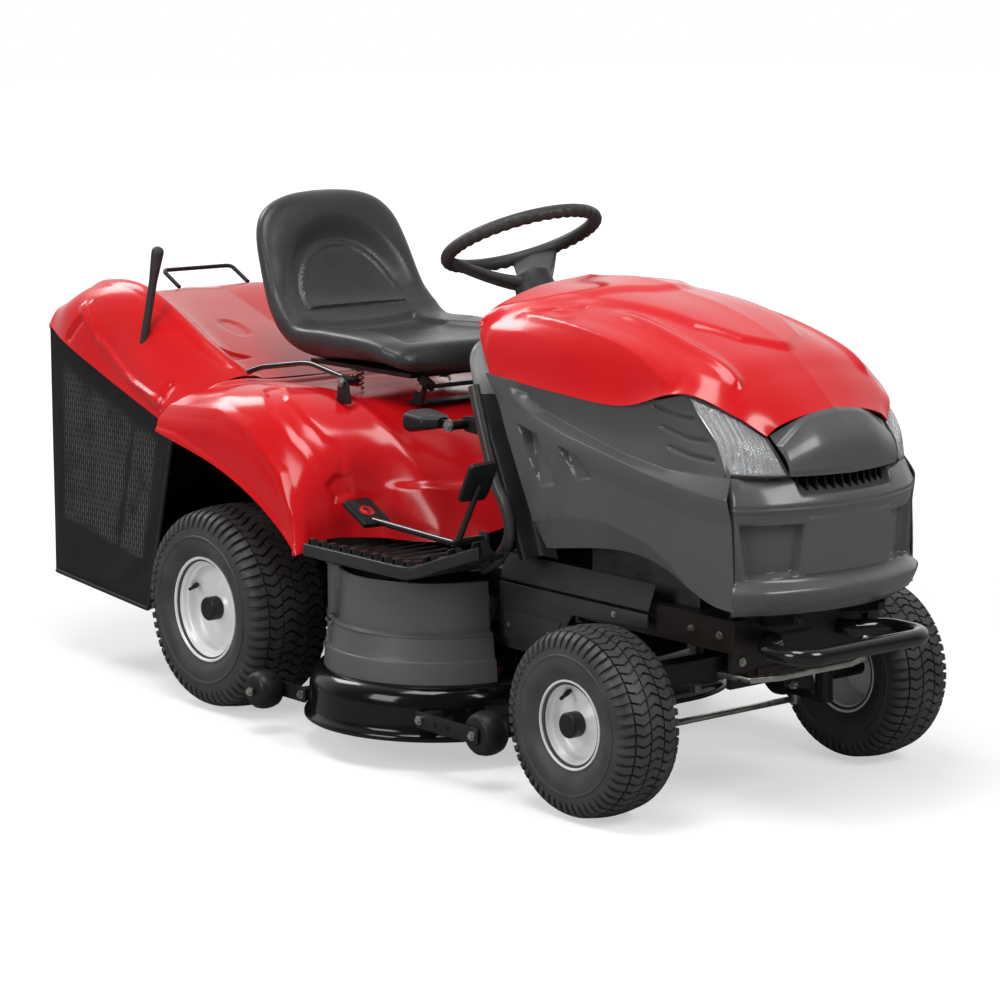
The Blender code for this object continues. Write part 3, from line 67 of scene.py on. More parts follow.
def ramp(tree, feed, low, high, first, last):
    """A blend of two colours between two levels of the feed."""
    fresh = node(tree, "ShaderNodeValToRGB", [("Fac", feed)])
    for stop, level, colour in zip(fresh.color_ramp.elements, (low, high), (first, last)):
        stop.position = level
        stop.color = (*colour, 1)
    return fresh.outputs["Color"]


def spread(tree, feed, low, high, first=0.0, last=1.0):
    """The feed's run between two levels, spread between two values."""
    feeds = [("Value", feed), ("From Min", low), ("From Max", high), ("To Min", first), ("To Max", last)]
    return node(tree, "ShaderNodeMapRange", feeds).outputs["Result"]


def noise(tree, where, scale, detail):
    """A cloudy pattern, finer as its scale rises."""
    return node(tree, "ShaderNodeTexNoise", [("Vector", where), ("Scale", scale), ("Detail", detail)]).outputs["Fac"]


def relief(tree, height, strength, distance):
    """Lets a surface look raised where the height is."""
    bump = node(tree, "ShaderNodeBump", [("Height", height), ("Strength", strength), ("Distance", distance)])
    tree.links.new(bump.outputs["Normal"], tree.nodes["Principled BSDF"].inputs["Normal"])


def worked(name, colour, rough, metallic=0.0, coat=0.0, cloud=5.0, fade=0.8, sway=0.07, grain=420.0, depth=0.12):
    """A made surface: cloudy colour, wandering gloss and a fine grain, fixed in the piece's own space."""
    material = bpy.data.materials.new(name)
    material.use_nodes = True
    tree = material.node_tree
    sockets = tree.nodes["Principled BSDF"].inputs
    sockets["Metallic"].default_value = metallic
    sockets["Coat Weight"].default_value = coat
    sockets["Coat Roughness"].default_value = 0.12
    sockets["Specular IOR Level"].default_value = 0.32
    where = node(tree, "ShaderNodeTexCoord").outputs["Object"]
    shade = ramp(tree, noise(tree, where, cloud, 5.0), 0.36, 0.66, [fade * c for c in colour], colour)
    tree.links.new(shade, sockets["Base Color"])
    gloss = spread(tree, noise(tree, where, 4 * cloud, 6.0), 0.3, 0.7, rough - sway, rough + sway)
    tree.links.new(gloss, sockets["Roughness"])
    relief(tree, noise(tree, where, grain, 2.0), depth, 0.001)
    return material


def coat_solid(name, material):
    """Gives a solid of the frame its finish."""
    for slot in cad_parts[name].material_slots:
        slot.material = material


frame_paint = worked("frame_paint", (0.021, 0.0165, 0.0145), 0.38, cloud=7.0, fade=0.6, sway=0.10, grain=160.0)
coat_solid("chassis_frame", frame_paint)


# Nose plate: the pressed front of the frame, with the shade of a slot-shaped dent painted on it, and the bright zinc
# plate below it.
# Plated bolts hold the side plates and the bumper.
zinc = worked("zinc_plate", (0.60, 0.58, 0.54), 0.34, metallic=1.0, cloud=18.0, fade=0.75, sway=0.12, grain=220.0)


def shown(name, data):
    """A new object in the scene."""
    obj = bpy.data.objects.new(name, data)
    bpy.context.scene.collection.objects.link(obj)
    return obj


def place(name, mesh, material, body, stands_for=(), crease=38):
    """Puts a finished mesh, made from the rear axle, on its body and lets it stand for its solids."""
    mesh.transform(Matrix.Translation((REAR_AXLE, 0, 0)))
    mesh.shade_smooth()
    mesh.set_sharp_from_angle(angle=math.radians(crease))
    mesh.materials.clear()
    mesh.materials.append(material)
    obj = shown(name, mesh)
    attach(obj, body)
    if stands_for:
        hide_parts(*stands_for)
    return obj


def maths(tree, operation, first, second):
    """One sum, product or the like of two feeds."""
    return node(tree, "ShaderNodeMath", [(0, first), (1, second)], operation=operation).outputs[0]


def new_tree(name, **inputs):
    """A tree of geometry nodes with named inputs, and those inputs."""
    tree = bpy.data.node_groups.new(name, "GeometryNodeTree")
    for title, kind in inputs.items():
        tree.interface.new_socket(title, in_out="INPUT", socket_type=f"NodeSocket{kind}")
    tree.interface.new_socket("Pieces", in_out="OUTPUT", socket_type="NodeSocketGeometry")
    return tree, node(tree, "NodeGroupInput").outputs


def end_tree(tree, points, piece, rotation, material):
    """Ends a tree with the piece at every point, made real and given its material."""
    feeds = [("Points", points), ("Instance", piece), ("Rotation", rotation)]
    copies = node(tree, "GeometryNodeInstanceOnPoints", feeds)
    solid = node(tree, "GeometryNodeRealizeInstances", [("Geometry", copies.outputs[0])])
    coated = node(tree, "GeometryNodeSetMaterial", [("Geometry", solid.outputs[0]), ("Material", material)])
    node(tree, "NodeGroupOutput", [("Pieces", coated.outputs[0])])
    return tree


def bolt_tree():
    """Hexagon heads on washers, one at each seat, standing along the seat's axis."""
    tree, given = new_tree("bolts", Seats="Geometry", Across="Float", Height="Float", Material="Material")
    wide = maths(tree, "MULTIPLY", given["Across"], 1.5)
    thin = maths(tree, "MULTIPLY", given["Height"], 0.7)
    bar = [("Vertices", 6), ("Radius", given["Across"]), ("Depth", given["Height"])]
    rise = node(tree, "ShaderNodeCombineXYZ", [("Z", thin)]).outputs[0]
    raised = [("Geometry", node(tree, "GeometryNodeMeshCylinder", bar).outputs[0]), ("Translation", rise)]
    head = node(tree, "GeometryNodeTransform", raised)
    washer = node(tree, "GeometryNodeMeshCylinder", [("Vertices", 18), ("Radius", wide), ("Depth", thin)])
    pair = node(tree, "GeometryNodeJoinGeometry")
    for piece in (head, washer):
        tree.links.new(piece.outputs[0], pair.inputs[0])
    axis = node(tree, "GeometryNodeInputNamedAttribute", [("Name", "axis")], data_type="FLOAT_VECTOR")
    lean = node(tree, "FunctionNodeAlignRotationToVector", [("Vector", axis.outputs["Attribute"])], axis="Z")
    return end_tree(tree, given["Seats"], pair.outputs[0], lean.outputs[0], given["Material"])


def grown(tree, seed_mesh, **inputs):
    """The plain mesh that a tree grows from a seed mesh."""
    seed = shown("seed", seed_mesh)
    growth = seed.modifiers.new("growth", "NODES")
    growth.node_group = tree
    for item in tree.interface.items_tree:
        if item.in_out == "INPUT" and item.name in inputs:
            growth[item.identifier] = inputs[item.name]
    graph = bpy.context.evaluated_depsgraph_get()
    mesh = bpy.data.meshes.new_from_object(seed.evaluated_get(graph))
    bpy.data.objects.remove(seed)
    return mesh


bolt_heads = bolt_tree()


def bolts(name, seats, body, across=0.006, height=0.005):
    """Plated bolt heads at seats, each a point and the way that the head faces."""
    mesh = bpy.data.meshes.new("seats")
    mesh.from_pydata([seat for seat, _ in seats], [], [])
    axes = mesh.attributes.new("axis", "FLOAT_VECTOR", "POINT")
    for spot, (_, facing) in zip(axes.data, seats):
        spot.vector = facing
    heads = grown(bolt_heads, mesh, Across=across, Height=height, Material=zinc)
    place(name, heads, zinc, body, crease=30)


def made(bm):
    """A plain mesh from a bmesh, with its faces turned outwards."""
    bmesh.ops.remove_doubles(bm, verts=bm.verts, dist=1e-6)
    bmesh.ops.recalc_face_normals(bm, faces=bm.faces)
    mesh = bpy.data.meshes.new("mesh")
    bm.to_mesh(mesh)
    bm.free()
    return mesh


def slab(outline, low, high, axis="y", bevel=0.0015):
    """A flat plate with eased edges: an outline in the other two axes, between two levels of this one."""
    bm = bmesh.new()
    turn = {"x": lambda u, v, w: (w, u, v), "y": lambda u, v, w: (u, w, v), "z": lambda u, v, w: (u, v, w)}[axis]
    face = bm.faces.new([bm.verts.new(turn(u, v, low)) for u, v in outline])
    raised = bmesh.ops.extrude_face_region(bm, geom=[face])["geom"]
    lift = Vector(turn(0, 0, high - low))
    bmesh.ops.translate(bm, vec=lift, verts=[v for v in raised if isinstance(v, bmesh.types.BMVert)])
    bmesh.ops.recalc_face_normals(bm, faces=bm.faces)
    if bevel:
        bmesh.ops.bevel(bm, geom=bm.edges[:], offset=bevel, segments=2, affect="EDGES", profile=0.5)
    return made(bm)


def full_turn(count):
    """Evenly spaced angles round a full turn."""
    return [2 * math.pi * k / count for k in range(count)]


def oval(u, v, half_u, half_v, count=24):
    """An outline of points round an oval."""
    return [(u + half_u * math.cos(t), v + half_v * math.sin(t)) for t in full_turn(count)]


def oblong(left, right, low, high):
    """The four corners of an oblong, anticlockwise."""
    return [(left, low), (right, low), (right, high), (left, high)]


steer_plate = slab([(1.34, -0.17), (1.425, -0.16), (1.445, -0.10), (1.445, 0.10), (1.425, 0.16), (1.34, 0.17)],
                   0.268, 0.279, axis="z")
place("steering_plate", steer_plate, zinc, "chassis")
apron = slab(oblong(-0.20, 0.20, 0.37, 0.44), 1.404, 1.408, axis="x")
place("nose_apron", apron, frame_paint, "chassis")
# The dent is not pressed in: a thin near-black oval on the apron paints its shade.
dent = slab(oval(-0.03, 0.352, 0.052, 0.0035), 1.4098, 1.4112, axis="x", bevel=0)
place("nose_dent_painted_shade", dent, worked("dent_shadow", (0.004, 0.0035, 0.003), 0.6), "chassis")
bolts("frame_bolts", [((1.411, y, z), (1, 0, 0)) for y in (-0.17, 0.17) for z in (0.31, 0.37)]
      + [((x, side * 0.2005, 0.362), (0, side, 0)) for side in (-1, 1) for x in (1.30, 1.38)], "chassis")


# Engine, exhaust, tank and drive: an aluminium engine under the bonnet, a steel muffler, a moulded tank,
# a cast transaxle and the moulded grass duct. They show from below, behind and with the bonnet up.
coat_solid("engine", worked("engine_casting", (0.10, 0.10, 0.105), 0.46, metallic=0.6, cloud=14.0, fade=0.6,
                            grain=90.0, depth=0.3))
coat_solid("muffler", worked("muffler_steel", (0.20, 0.175, 0.15), 0.55, metallic=0.9, cloud=9.0, fade=0.5,
                             grain=150.0))
coat_solid("fuel_tank", worked("tank_plastic", (0.62, 0.61, 0.57), 0.42, cloud=3.0, fade=0.88, grain=200.0))
coat_solid("transaxle", worked("transaxle_casting", (0.06, 0.06, 0.062), 0.5, metallic=0.5, cloud=12.0, fade=0.6,
                               grain=80.0, depth=0.3))
coat_solid("discharge_chute", worked("duct_plastic", (0.014, 0.014, 0.015), 0.5, cloud=6.0, fade=0.7))
coat_solid("crankshaft_pulley", worked("pulley_steel", (0.34, 0.33, 0.32), 0.36, metallic=1.0, cloud=24.0, fade=0.6))


# Wheels: pressed steel discs in silver paint, large behind and small in front. Each is stepped down to a
# dished centre and slides on its axle. Black caps close the axle ends, and a rubber valve stands in the well.
rim_paint = worked("rim_paint", (0.78, 0.78, 0.785), 0.33, metallic=0.12, cloud=10.0, fade=0.86, sway=0.06,
                   grain=500.0)
cap_plastic = worked("cap_plastic", (0.012, 0.012, 0.013), 0.42, cloud=20.0, fade=0.6)


def eased(outline, reach, steps=3):
    """A closed outline with its corners rounded."""
    soft = []
    for before, corner, after in zip(outline[-1:] + outline[:-1], outline, outline[1:] + outline[:1]):
        p, c, n = (np.array(point, float) for point in (before, corner, after))
        back = (p - c) * min(1.0, 2 * reach / max(np.linalg.norm(p - c), 1e-9)) / 2
        ahead = (n - c) * min(1.0, 2 * reach / max(np.linalg.norm(n - c), 1e-9)) / 2
        for k in range(steps + 1):
            t = k / steps
            soft.append(tuple((c + back) * (1 - t) ** 2 + c * 2 * t * (1 - t) + (c + ahead) * t**2))
    return soft


def loft(loops, ring=False):
    """A skin through closed loops of as many points each, capped at both ends or closed to a ring."""
    bm = bmesh.new()
    loops = [[bm.verts.new(point) for point in loop] for loop in loops]
    for loop, following in zip(loops, loops[1:] + loops[:1] * ring):
        for k in range(len(loop)):
            n = (k + 1) % len(loop)
            bm.faces.new((loop[k], loop[n], following[n], following[k]))
    if not ring:
        bm.faces.new(loops[0])
        bm.faces.new(loops[-1])
    return made(bm)


def turned(outline, count, where=Matrix()):
    """A closed outline of (radius, height) turned about an axis."""
    mesh = loft([[(r * math.cos(t), r * math.sin(t), h) for t in full_turn(count)] for r, h in outline], ring=True)
    mesh.transform(where)
    return mesh


def axle_end(hub, side):
    """The place of a wheel: its axis along Y, its face on the given side."""
    return Matrix.Translation(hub) @ Matrix.Rotation(-side * math.pi / 2, 4, "X")


RIM_FORMS = {
    "rear": [(0.118, 0.088), (0.118, 0.092), (0.113, 0.0935), (0.1095, 0.082), (0.1035, 0.0785), (0.1005, 0.070),
             (0.0965, 0.0675), (0.0935, 0.052), (0.088, 0.046), (0.060, 0.040), (0.034, 0.049), (0.026, 0.0565),
             (0.0125, 0.0568), (0.0125, 0.010), (0.030, 0.024), (0.0880, 0.036), (0.1025, 0.045), (0.1025, -0.083),
             (0.118, -0.092), (0.118, -0.087), (0.1065, -0.083), (0.1065, 0.083)],
    "front": [(0.0895, 0.0585), (0.0895, 0.062), (0.0855, 0.0632), (0.0825, 0.053), (0.0785, 0.0505), (0.0755, 0.043),
              (0.0725, 0.041), (0.0695, 0.028), (0.064, 0.0235), (0.046, 0.021), (0.030, 0.033), (0.0225, 0.0395),
              (0.0125, 0.0398), (0.0125, -0.008), (0.026, 0.006), (0.064, 0.013), (0.074, 0.022), (0.074, -0.053),
              (0.0895, -0.062), (0.0895, -0.057), (0.078, -0.054), (0.078, 0.054)],
}
VALVE = eased([(0, -0.006), (0.0055, -0.006), (0.0055, 0.006), (0.0038, 0.014), (0.0038, 0.026), (0, 0.026)], 0.001)
VALVE_SEATS = {"rear": (0.089, 0.058, 205), "front": (0.0655, 0.034, 238)}
VALVE_LEAN = math.radians(-24)
CAPS = {"rear": (0.0265, 0.0575, 0.085), "front": (0.0255, 0.0405, 0.068)}
SIDES = (("right", -1), ("left", 1))
hubs = {}
for axle, form in RIM_FORMS.items():
    well, depth, clock = VALVE_SEATS[axle]
    wide, foot, tip = CAPS[axle]
    for side_name, side in SIDES:
        low, high = (Vector(corner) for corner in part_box(f"{axle}_tyre_{side_name}"))
        hub = (low + high) / 2 - Vector((REAR_AXLE, 0, 0))
        hubs[axle, side_name] = hub
        end = axle_end(hub, side)
        body = f"{axle}_wheel_{side_name}"
        disc = turned(eased(form, 0.0022), 72, end)
        place(f"{axle}_disc_{side_name}", disc, rim_paint, body, [f"{axle}_rim_{side_name}"], crease=50)
        round_well = Matrix.Rotation(side * math.radians(clock), 4, "Z") @ Matrix.Translation((well, 0, depth))
        valve = turned(VALVE, 14, end @ round_well @ Matrix.Rotation(VALVE_LEAN, 4, "Y"))
        place(f"{axle}_valve_{side_name}", valve, cap_plastic, body)
        cap = [(0, foot), (wide, foot), (wide, tip - 0.003), (wide - 0.003, tip), (0, tip)]
        carrier = "chassis" if axle == "rear" else f"{side_name}_knuckle"
        place(f"{axle}_axle_cap_{side_name}", turned(eased(cap, 0.0012), 40, end), cap_plastic, carrier)


# Tyres: black rubber with a turf tread. Bent blocks stand in staggered rows across the crown, and one lug
# to each pitch runs over the shoulder and dies away on the sidewall, above a moulded ring.
rubber = worked("tyre_rubber", (0.052, 0.049, 0.047), 0.50, cloud=16.0, fade=0.66, sway=0.10, grain=700.0, depth=0.25)
rubber.node_tree.nodes["Principled BSDF"].inputs["Specular IOR Level"].default_value = 0.42


def repeat_tree():
    """Copies of a seed shape, each one step and one turn further than the last."""
    tree, given = new_tree("repeat", Seed="Geometry", Copies="Int", Step="Vector", Turn="Vector", Material="Material")
    count = node(tree, "GeometryNodeInputIndex").outputs[0]
    moves = [node(tree, "ShaderNodeVectorMath", [("Vector", given[way]), ("Scale", count)], operation="SCALE")
             for way in ("Step", "Turn")]
    shift, turn = (move.outputs[0] for move in moves)
    points = node(tree, "GeometryNodePoints", [("Count", given["Copies"]), ("Position", shift)]).outputs[0]
    return end_tree(tree, points, given["Seed"], turn, given["Material"])


repeat = repeat_tree()
TYRES = {
    "rear": {"flat": 0.062, "bend": 0.040, "tread": 0.0085, "pitches": 58, "columns": 4, "column": 0.0345,
             "gap": 0.0062, "lug": (0.0705, 0.112),
             "wall": [(0.1665, 0.1025), (0.1650, 0.1050), (0.1615, 0.1050), (0.1595, 0.1035), (0.145, 0.1045),
                      (0.131, 0.0985), (0.1235, 0.0925), (0.1185, 0.0895), (0.1075, 0.0875)]},
    "front": {"flat": 0.040, "bend": 0.033, "tread": 0.0070, "pitches": 56, "columns": 3, "column": 0.0335,
              "gap": 0.0052, "lug": (0.0515, 0.084),
              "wall": [(0.1405, 0.0732), (0.1390, 0.0750), (0.1360, 0.0750), (0.1340, 0.0738), (0.121, 0.0745),
                       (0.106, 0.0690), (0.0965, 0.0630), (0.0900, 0.0600), (0.0790, 0.0580)]},
}


def tyre_point(turn, run, height, radius, flat, bend):
    """A point on the tyre: an angle round the axle, a run across the tread and a height above the carcass."""
    over = max(0.0, abs(run) - flat) / bend
    flat_run = min(abs(run), flat)
    out = radius - 0.1 * flat_run**2 / flat - bend * (1 - math.cos(over)) + height * math.cos(over)
    across = math.copysign(flat_run + (bend + height) * math.sin(over), run)
    return Vector((out * math.cos(turn), across, out * math.sin(turn)))


def tread_block(stations, radius, form):
    """A block through stations of (run, middle, half width, height), wider at its root by the draft of the mould."""
    draft = 0.0011 / radius
    root = -0.002
    loops = []
    for run, middle, half, height in stations:
        corners = ((-half - draft, root), (-half, height), (half, height), (half + draft, root))
        loops.append([tyre_point(middle + turn, run, rise, radius, form["flat"], form["bend"])
                      for turn, rise in corners])
    return loft(loops)


def joined(*meshes):
    """Several meshes as one."""
    bm = bmesh.new()
    for mesh in meshes:
        bm.from_mesh(mesh)
    whole = bpy.data.meshes.new("whole")
    bm.to_mesh(whole)
    bm.free()
    return whole


def tread_pitch(radius, form):
    """The blocks and lugs of one pitch of the tread, round the Y axis."""
    pitch = 2 * math.pi / form["pitches"]
    gap = form["gap"]
    wide = 0.5 * pitch - 0.5 * gap / radius
    blocks = []
    for column in range(form["columns"]):
        first = (column - form["columns"] / 2) * form["column"] + gap / 3
        length = form["column"] - gap / 1.5
        odd = column % 2
        bends = [0.17 * pitch * (1 - abs(k - 2)) * (1 if odd else -1) for k in range(5)]
        blocks.append([(first + length * k / 4, 0.5 * pitch * odd + bends[k], wide, form["tread"]) for k in range(5)])
    inner, outer = form["lug"]
    for side in (-1, 1):
        lug = []
        for t in (k / 6 for k in range(7)):
            lean = pitch * (0.02 + 0.30 * max(0.0, 0.3 - t))
            height = form["tread"] * (1 - 0.55 * max(0.0, t - 0.5) / 0.5)
            lug.append((side * (inner + (outer - inner) * t), lean, wide * (0.92 - 0.34 * t), height))
        blocks.append(lug)
    return joined(*(tread_block(stations, radius, form) for stations in blocks))


for (axle, side_name), hub in hubs.items():
    form = TYRES[axle]
    radius = hub.z - form["tread"]
    edge = form["flat"] + 1.35 * form["bend"]
    crown = [tyre_point(0, edge * k / 20, 0, radius, form["flat"], form["bend"]) for k in range(21)]
    half = [(p.x, p.y) for p in crown] + form["wall"]
    outline = [(r, -y) for r, y in reversed(half)] + half[1:]
    carcass = turned(outline, 96, axle_end(Vector(), 1))
    pitch_turn = (0, 2 * math.pi / form["pitches"], 0)
    tread = grown(repeat, tread_pitch(radius, form), Copies=form["pitches"], Turn=pitch_turn, Material=rubber)
    tyre = joined(carcass, tread)
    tyre.transform(Matrix.Translation(hub))
    place(f"{axle}_turf_tyre_{side_name}", tyre, rubber, f"{axle}_wheel_{side_name}",
          [f"{axle}_tyre_{side_name}"], crease=34)


# Front axle: a forged beam that rocks on a pin under the nose plate. A knuckle with its stub axle turns on a
# kingpin at each end, and a zinc-plated tie rod joins the arms of both knuckles.
axle_paint = worked("axle_paint", (0.014, 0.0135, 0.013), 0.34, cloud=9.0, fade=0.6, sway=0.1, grain=130.0)
for name in ("front_axle_beam", "knuckle_right", "knuckle_left"):
    coat_solid(name, axle_paint)
coat_solid("tie_rod", zinc)
UP = (0, 0, 1)
KINGPIN_Y = 0.262
TIE_ROD_X = 1.125
for side_name, side in SIDES:
    bolts(f"tie_rod_nut_{side_name}", [((TIE_ROD_X, side * KINGPIN_Y, 0.147), UP)], "steering_link", 0.0095, 0.007)
    kingpin = (hubs["front", side_name].x, side * KINGPIN_Y, 0.306)
    bolts(f"kingpin_nut_{side_name}", [(kingpin, UP)], f"{side_name}_knuckle", 0.010, 0.008)


# Bumper: one length of steel tube, bent into a loop in front of the nose plate and painted gloss black.
# Its two ends are welded to the plate.
bumper_gloss = worked("bumper_gloss", (0.010, 0.0095, 0.009), 0.17, coat=0.5, cloud=6.0, fade=0.7, sway=0.05,
                      grain=90.0, depth=0.05)


def bent(points, radius, steps=8):
    """A path with its corners rounded off."""
    points = [Vector(p) for p in points]
    path = [points[0]]
    for before, corner, after in zip(points, points[1:], points[2:]):
        reach = min(radius, (before - corner).length / 2.1, (after - corner).length / 2.1)
        start = corner + (before - corner).normalized() * reach
        end = corner + (after - corner).normalized() * reach
        shares = [k / steps for k in range(steps + 1)]
        path += [start * (1 - t) ** 2 + corner * 2 * t * (1 - t) + end * t**2 for t in shares]
    return path + [points[-1]]


def tube(path, radius, sides=16, flat=1.0):
    """A round bar swept along a path, closed at both ends. Flat squashes it across its own level side."""
    path = [Vector(point) for point in path]
    sizes = radius if isinstance(radius, list) else [radius] * len(path)
    turns = full_turn(sides)
    loops = []
    side = None
    for k, (point, size) in enumerate(zip(path, sizes)):
        run = (path[min(k + 1, len(path) - 1)] - path[max(k - 1, 0)]).normalized()
        side = run.cross(Vector(UP)) if side is None else side - run * side.dot(run)
        if side.length < 1e-4:
            side = run.cross(Vector((0, 1, 0)))
        side.normalize()
        over = side.cross(run)
        loops.append([point + side * size * flat * math.cos(t) + over * size * math.sin(t) for t in turns])
    return loft(loops)


loop = [(1.4103, -0.10, 0.345), (1.436, -0.10, 0.345), (1.466, -0.175, 0.345), (1.583, -0.175, 0.345)]
loop += [(x, -y, z) for x, y, z in reversed(loop)]
place("bumper_tube", tube(bent(loop, 0.075), 0.017, 24), bumper_gloss, "chassis", ["front_bumper"])


# Side covers: moulded dark-grey skirts along the frame rails, deep behind the front wheel and shallow beside
# it. Each is screwed on and has a bevelled edge that catches the light.
cover_plastic = worked("cover_plastic", (0.032, 0.032, 0.033), 0.40, cloud=6.0, fade=0.75, sway=0.06, grain=300.0)
skirt_profile = [(0.742, 0.238), (0.925, 0.238), (0.945, 0.262), (0.958, 0.318), (0.972, 0.338), (1.198, 0.347),
                 (1.198, 0.376), (0.742, 0.376)]


def mirrored(mesh):
    """The same mesh on the other side of the machine."""
    twin = mesh.copy()
    twin.transform(Matrix.Scale(-1, 4, (0, 1, 0)))
    twin.flip_normals()
    return twin


def place_both(name, mesh, material, body, stands_for=None, crease=38):
    """Places a mesh of the right side and its mirror twin on one body."""
    for side_name, half in (("left", mirrored(mesh)), ("right", mesh)):
        solids = [f"{stands_for}_{side_name}"] if stands_for else ()
        place(f"{name}_{side_name}", half, material, body, solids, crease)


skirt_face = slab(skirt_profile, 0.2185, 0.2245, bevel=0.003)
skirt_roof = slab(oblong(0.742, 1.198, 0.2015, 0.2205), 0.370, 0.428, axis="z", bevel=0.002)
for vert in skirt_roof.vertices:
    vert.co.z = 0.374 + (0.2235 - vert.co.y) * 2.6 + (0.003 if vert.co.z > 0.40 else 0)
skirt_step = slab([(0.760, 0.258), (0.915, 0.258), (0.940, 0.318), (0.760, 0.318)], 0.224, 0.2275, bevel=0.0016)
skirt = mirrored(joined(skirt_face, skirt_roof, skirt_step))
place_both("side_cover", skirt, cover_plastic, "chassis", "side_guard", crease=28)
for side_name, side in SIDES:
    spots = ((0.775, 0.2285, 0.288), (0.905, 0.2285, 0.288), (1.10, 0.225, 0.362))
    screws = [((x, side * y, z), (0, side, 0)) for x, y, z in spots]
    bolts(f"side_cover_screws_{side_name}", screws, "chassis", 0.0045, 0.003)


# Steering wheel: a soft black rim with finger grips on its far side, moulded over two broad dished spokes and
# a hub. It is pinned to the bare steel column, and a plain cap closes the hub.
wheel_soft = worked("wheel_soft", (0.040, 0.0375, 0.0365), 0.46, cloud=9.0, fade=0.7, sway=0.08, grain=380.0,
                    depth=0.2)
COLUMN_TOP = (0.545, 0, 1.06)
COLUMN_LEAN = math.radians(-25)
WHEEL_RADIUS = 0.163
GRIP_RADIUS = 0.0138
GRIPS = 44
SPOKES = (132, 228)
column = Matrix.Translation(COLUMN_TOP) @ Matrix.Rotation(COLUMN_LEAN, 4, "Y")


def grip_point(turn, lean):
    """The rim swells into grips under the fingers, on its far side."""
    swell = 1 + 0.20 * max(0.0, -math.sin(lean - 0.5)) * (0.5 + 0.5 * math.cos(GRIPS * turn))
    out = WHEEL_RADIUS + GRIP_RADIUS * swell * math.cos(lean)
    return out * math.cos(turn), out * math.sin(turn), GRIP_RADIUS * swell * math.sin(lean)


def bead(away, reach):
    """The height of a rounded rib at a way off its middle line."""
    return np.exp(-((away / reach) ** 2))


def squarish(wave, power):
    """A sine or cosine bent so that a round section turns squarish."""
    return np.copysign(abs(wave) ** power, wave)


def spoke(turn):
    """One spoke: narrow at the hub, broad and flat where it runs into the rim, with a rib along its middle."""
    out = Vector((math.cos(turn), math.sin(turn), 0))
    across = Vector((-out.y, out.x, 0))
    sections = []
    for t in (k / 12 for k in range(13)):
        reach = 0.006 + (WHEEL_RADIUS - 0.008) * t
        height = -0.102 + 0.098 * t**1.35
        half = 0.034 + 0.018 * t**1.4
        thick = 0.016 - 0.009 * t
        section = []
        for lean in full_turn(24):
            wide = half * squarish(math.cos(lean), 0.55)
            q = math.sin(lean)
            rise = height + thick * squarish(q, 0.6) + 0.003 * bead(wide, 0.3 * half) * max(0.0, q)
            section.append(out * reach + across * wide + Vector((0, 0, rise)))
        sections.append(section)
    return loft(sections)


rim_mesh = loft([[grip_point(turn, lean) for lean in full_turn(20)] for turn in full_turn(8 * GRIPS)], ring=True)
BOSS = [(0, -0.130), (0.046, -0.130), (0.043, -0.108), (0.038, -0.080), (0.026, -0.071), (0, -0.071)]
boss = turned(eased(BOSS, 0.004), 40)
steering = joined(rim_mesh, *(spoke(math.radians(turn)) for turn in SPOKES), boss)
steering.transform(column)
place("steering_wheel_soft", steering, wheel_soft, "steering", ["steering_wheel"], crease=45)
hub_cap = turned(eased([(0, -0.0712), (0.021, -0.0712), (0.0195, -0.0685), (0, -0.0675)], 0.001), 32, column)
place("steering_hub_cap", hub_cap, cover_plastic, "steering")
coat_solid("steering_shaft", worked("shaft_steel", (0.36, 0.35, 0.34), 0.34, metallic=1.0, cloud=20.0, fade=0.6))


# Cutting deck: one deep-drawn steel shell in gloss black with a rolled lower edge. Flat straps bolted to its
# skirt carry the rollers.
deck_gloss = worked("deck_gloss", (0.0045, 0.0045, 0.0048), 0.13, coat=0.12, fade=0.7, sway=0.05, grain=60.0,
                    depth=0.06)
BLADE_X = 0.55
BLADE_Y = 0.235
DECK_RADIUS = 0.275


def stadium(grow, z, count=120):
    """The deck's outline at one level: half circles round the two blades, joined by straights."""
    points = []
    for k in range(count):
        turn = 2 * math.pi * (k + 0.5) / count
        middle = math.copysign(BLADE_Y, math.sin(turn))
        reach = DECK_RADIUS + grow
        points.append((BLADE_X + reach * math.cos(turn), middle + reach * math.sin(turn), z))
    return points


inside = [(-0.036, 0.1715), (-0.017, 0.160), (-0.006, 0.133), (-0.004, 0.080), (0.004, 0.070), (0.006, 0.0655)]
outside = [(0.0085, 0.065), (0.010, 0.0665), (0.010, 0.0725), (0.0075, 0.0775), (0.002, 0.081), (0.0, 0.088),
           (-0.001, 0.112), (-0.002, 0.134), (-0.0045, 0.150), (-0.0105, 0.162), (-0.0205, 0.171), (-0.033, 0.175)]
shell = loft([stadium(grow, z) for grow, z in inside + outside])
place("deck_pressing", shell, deck_gloss, "deck", ["deck_shell"], crease=50)
bracket_paint = worked("bracket_paint", (0.012, 0.0115, 0.011), 0.42, cloud=9.0, fade=0.6, sway=0.1, grain=130.0)
# Near-black standing in for the shade inside holes, slots and the air inlet: painted shade.
painted_hole_shade = worked("painted_hole_shade", (0.002, 0.002, 0.002), 0.8)
ROLLER_PINS = {"rear": (0.272, 0.10), "front": (0.935, 0.118)}
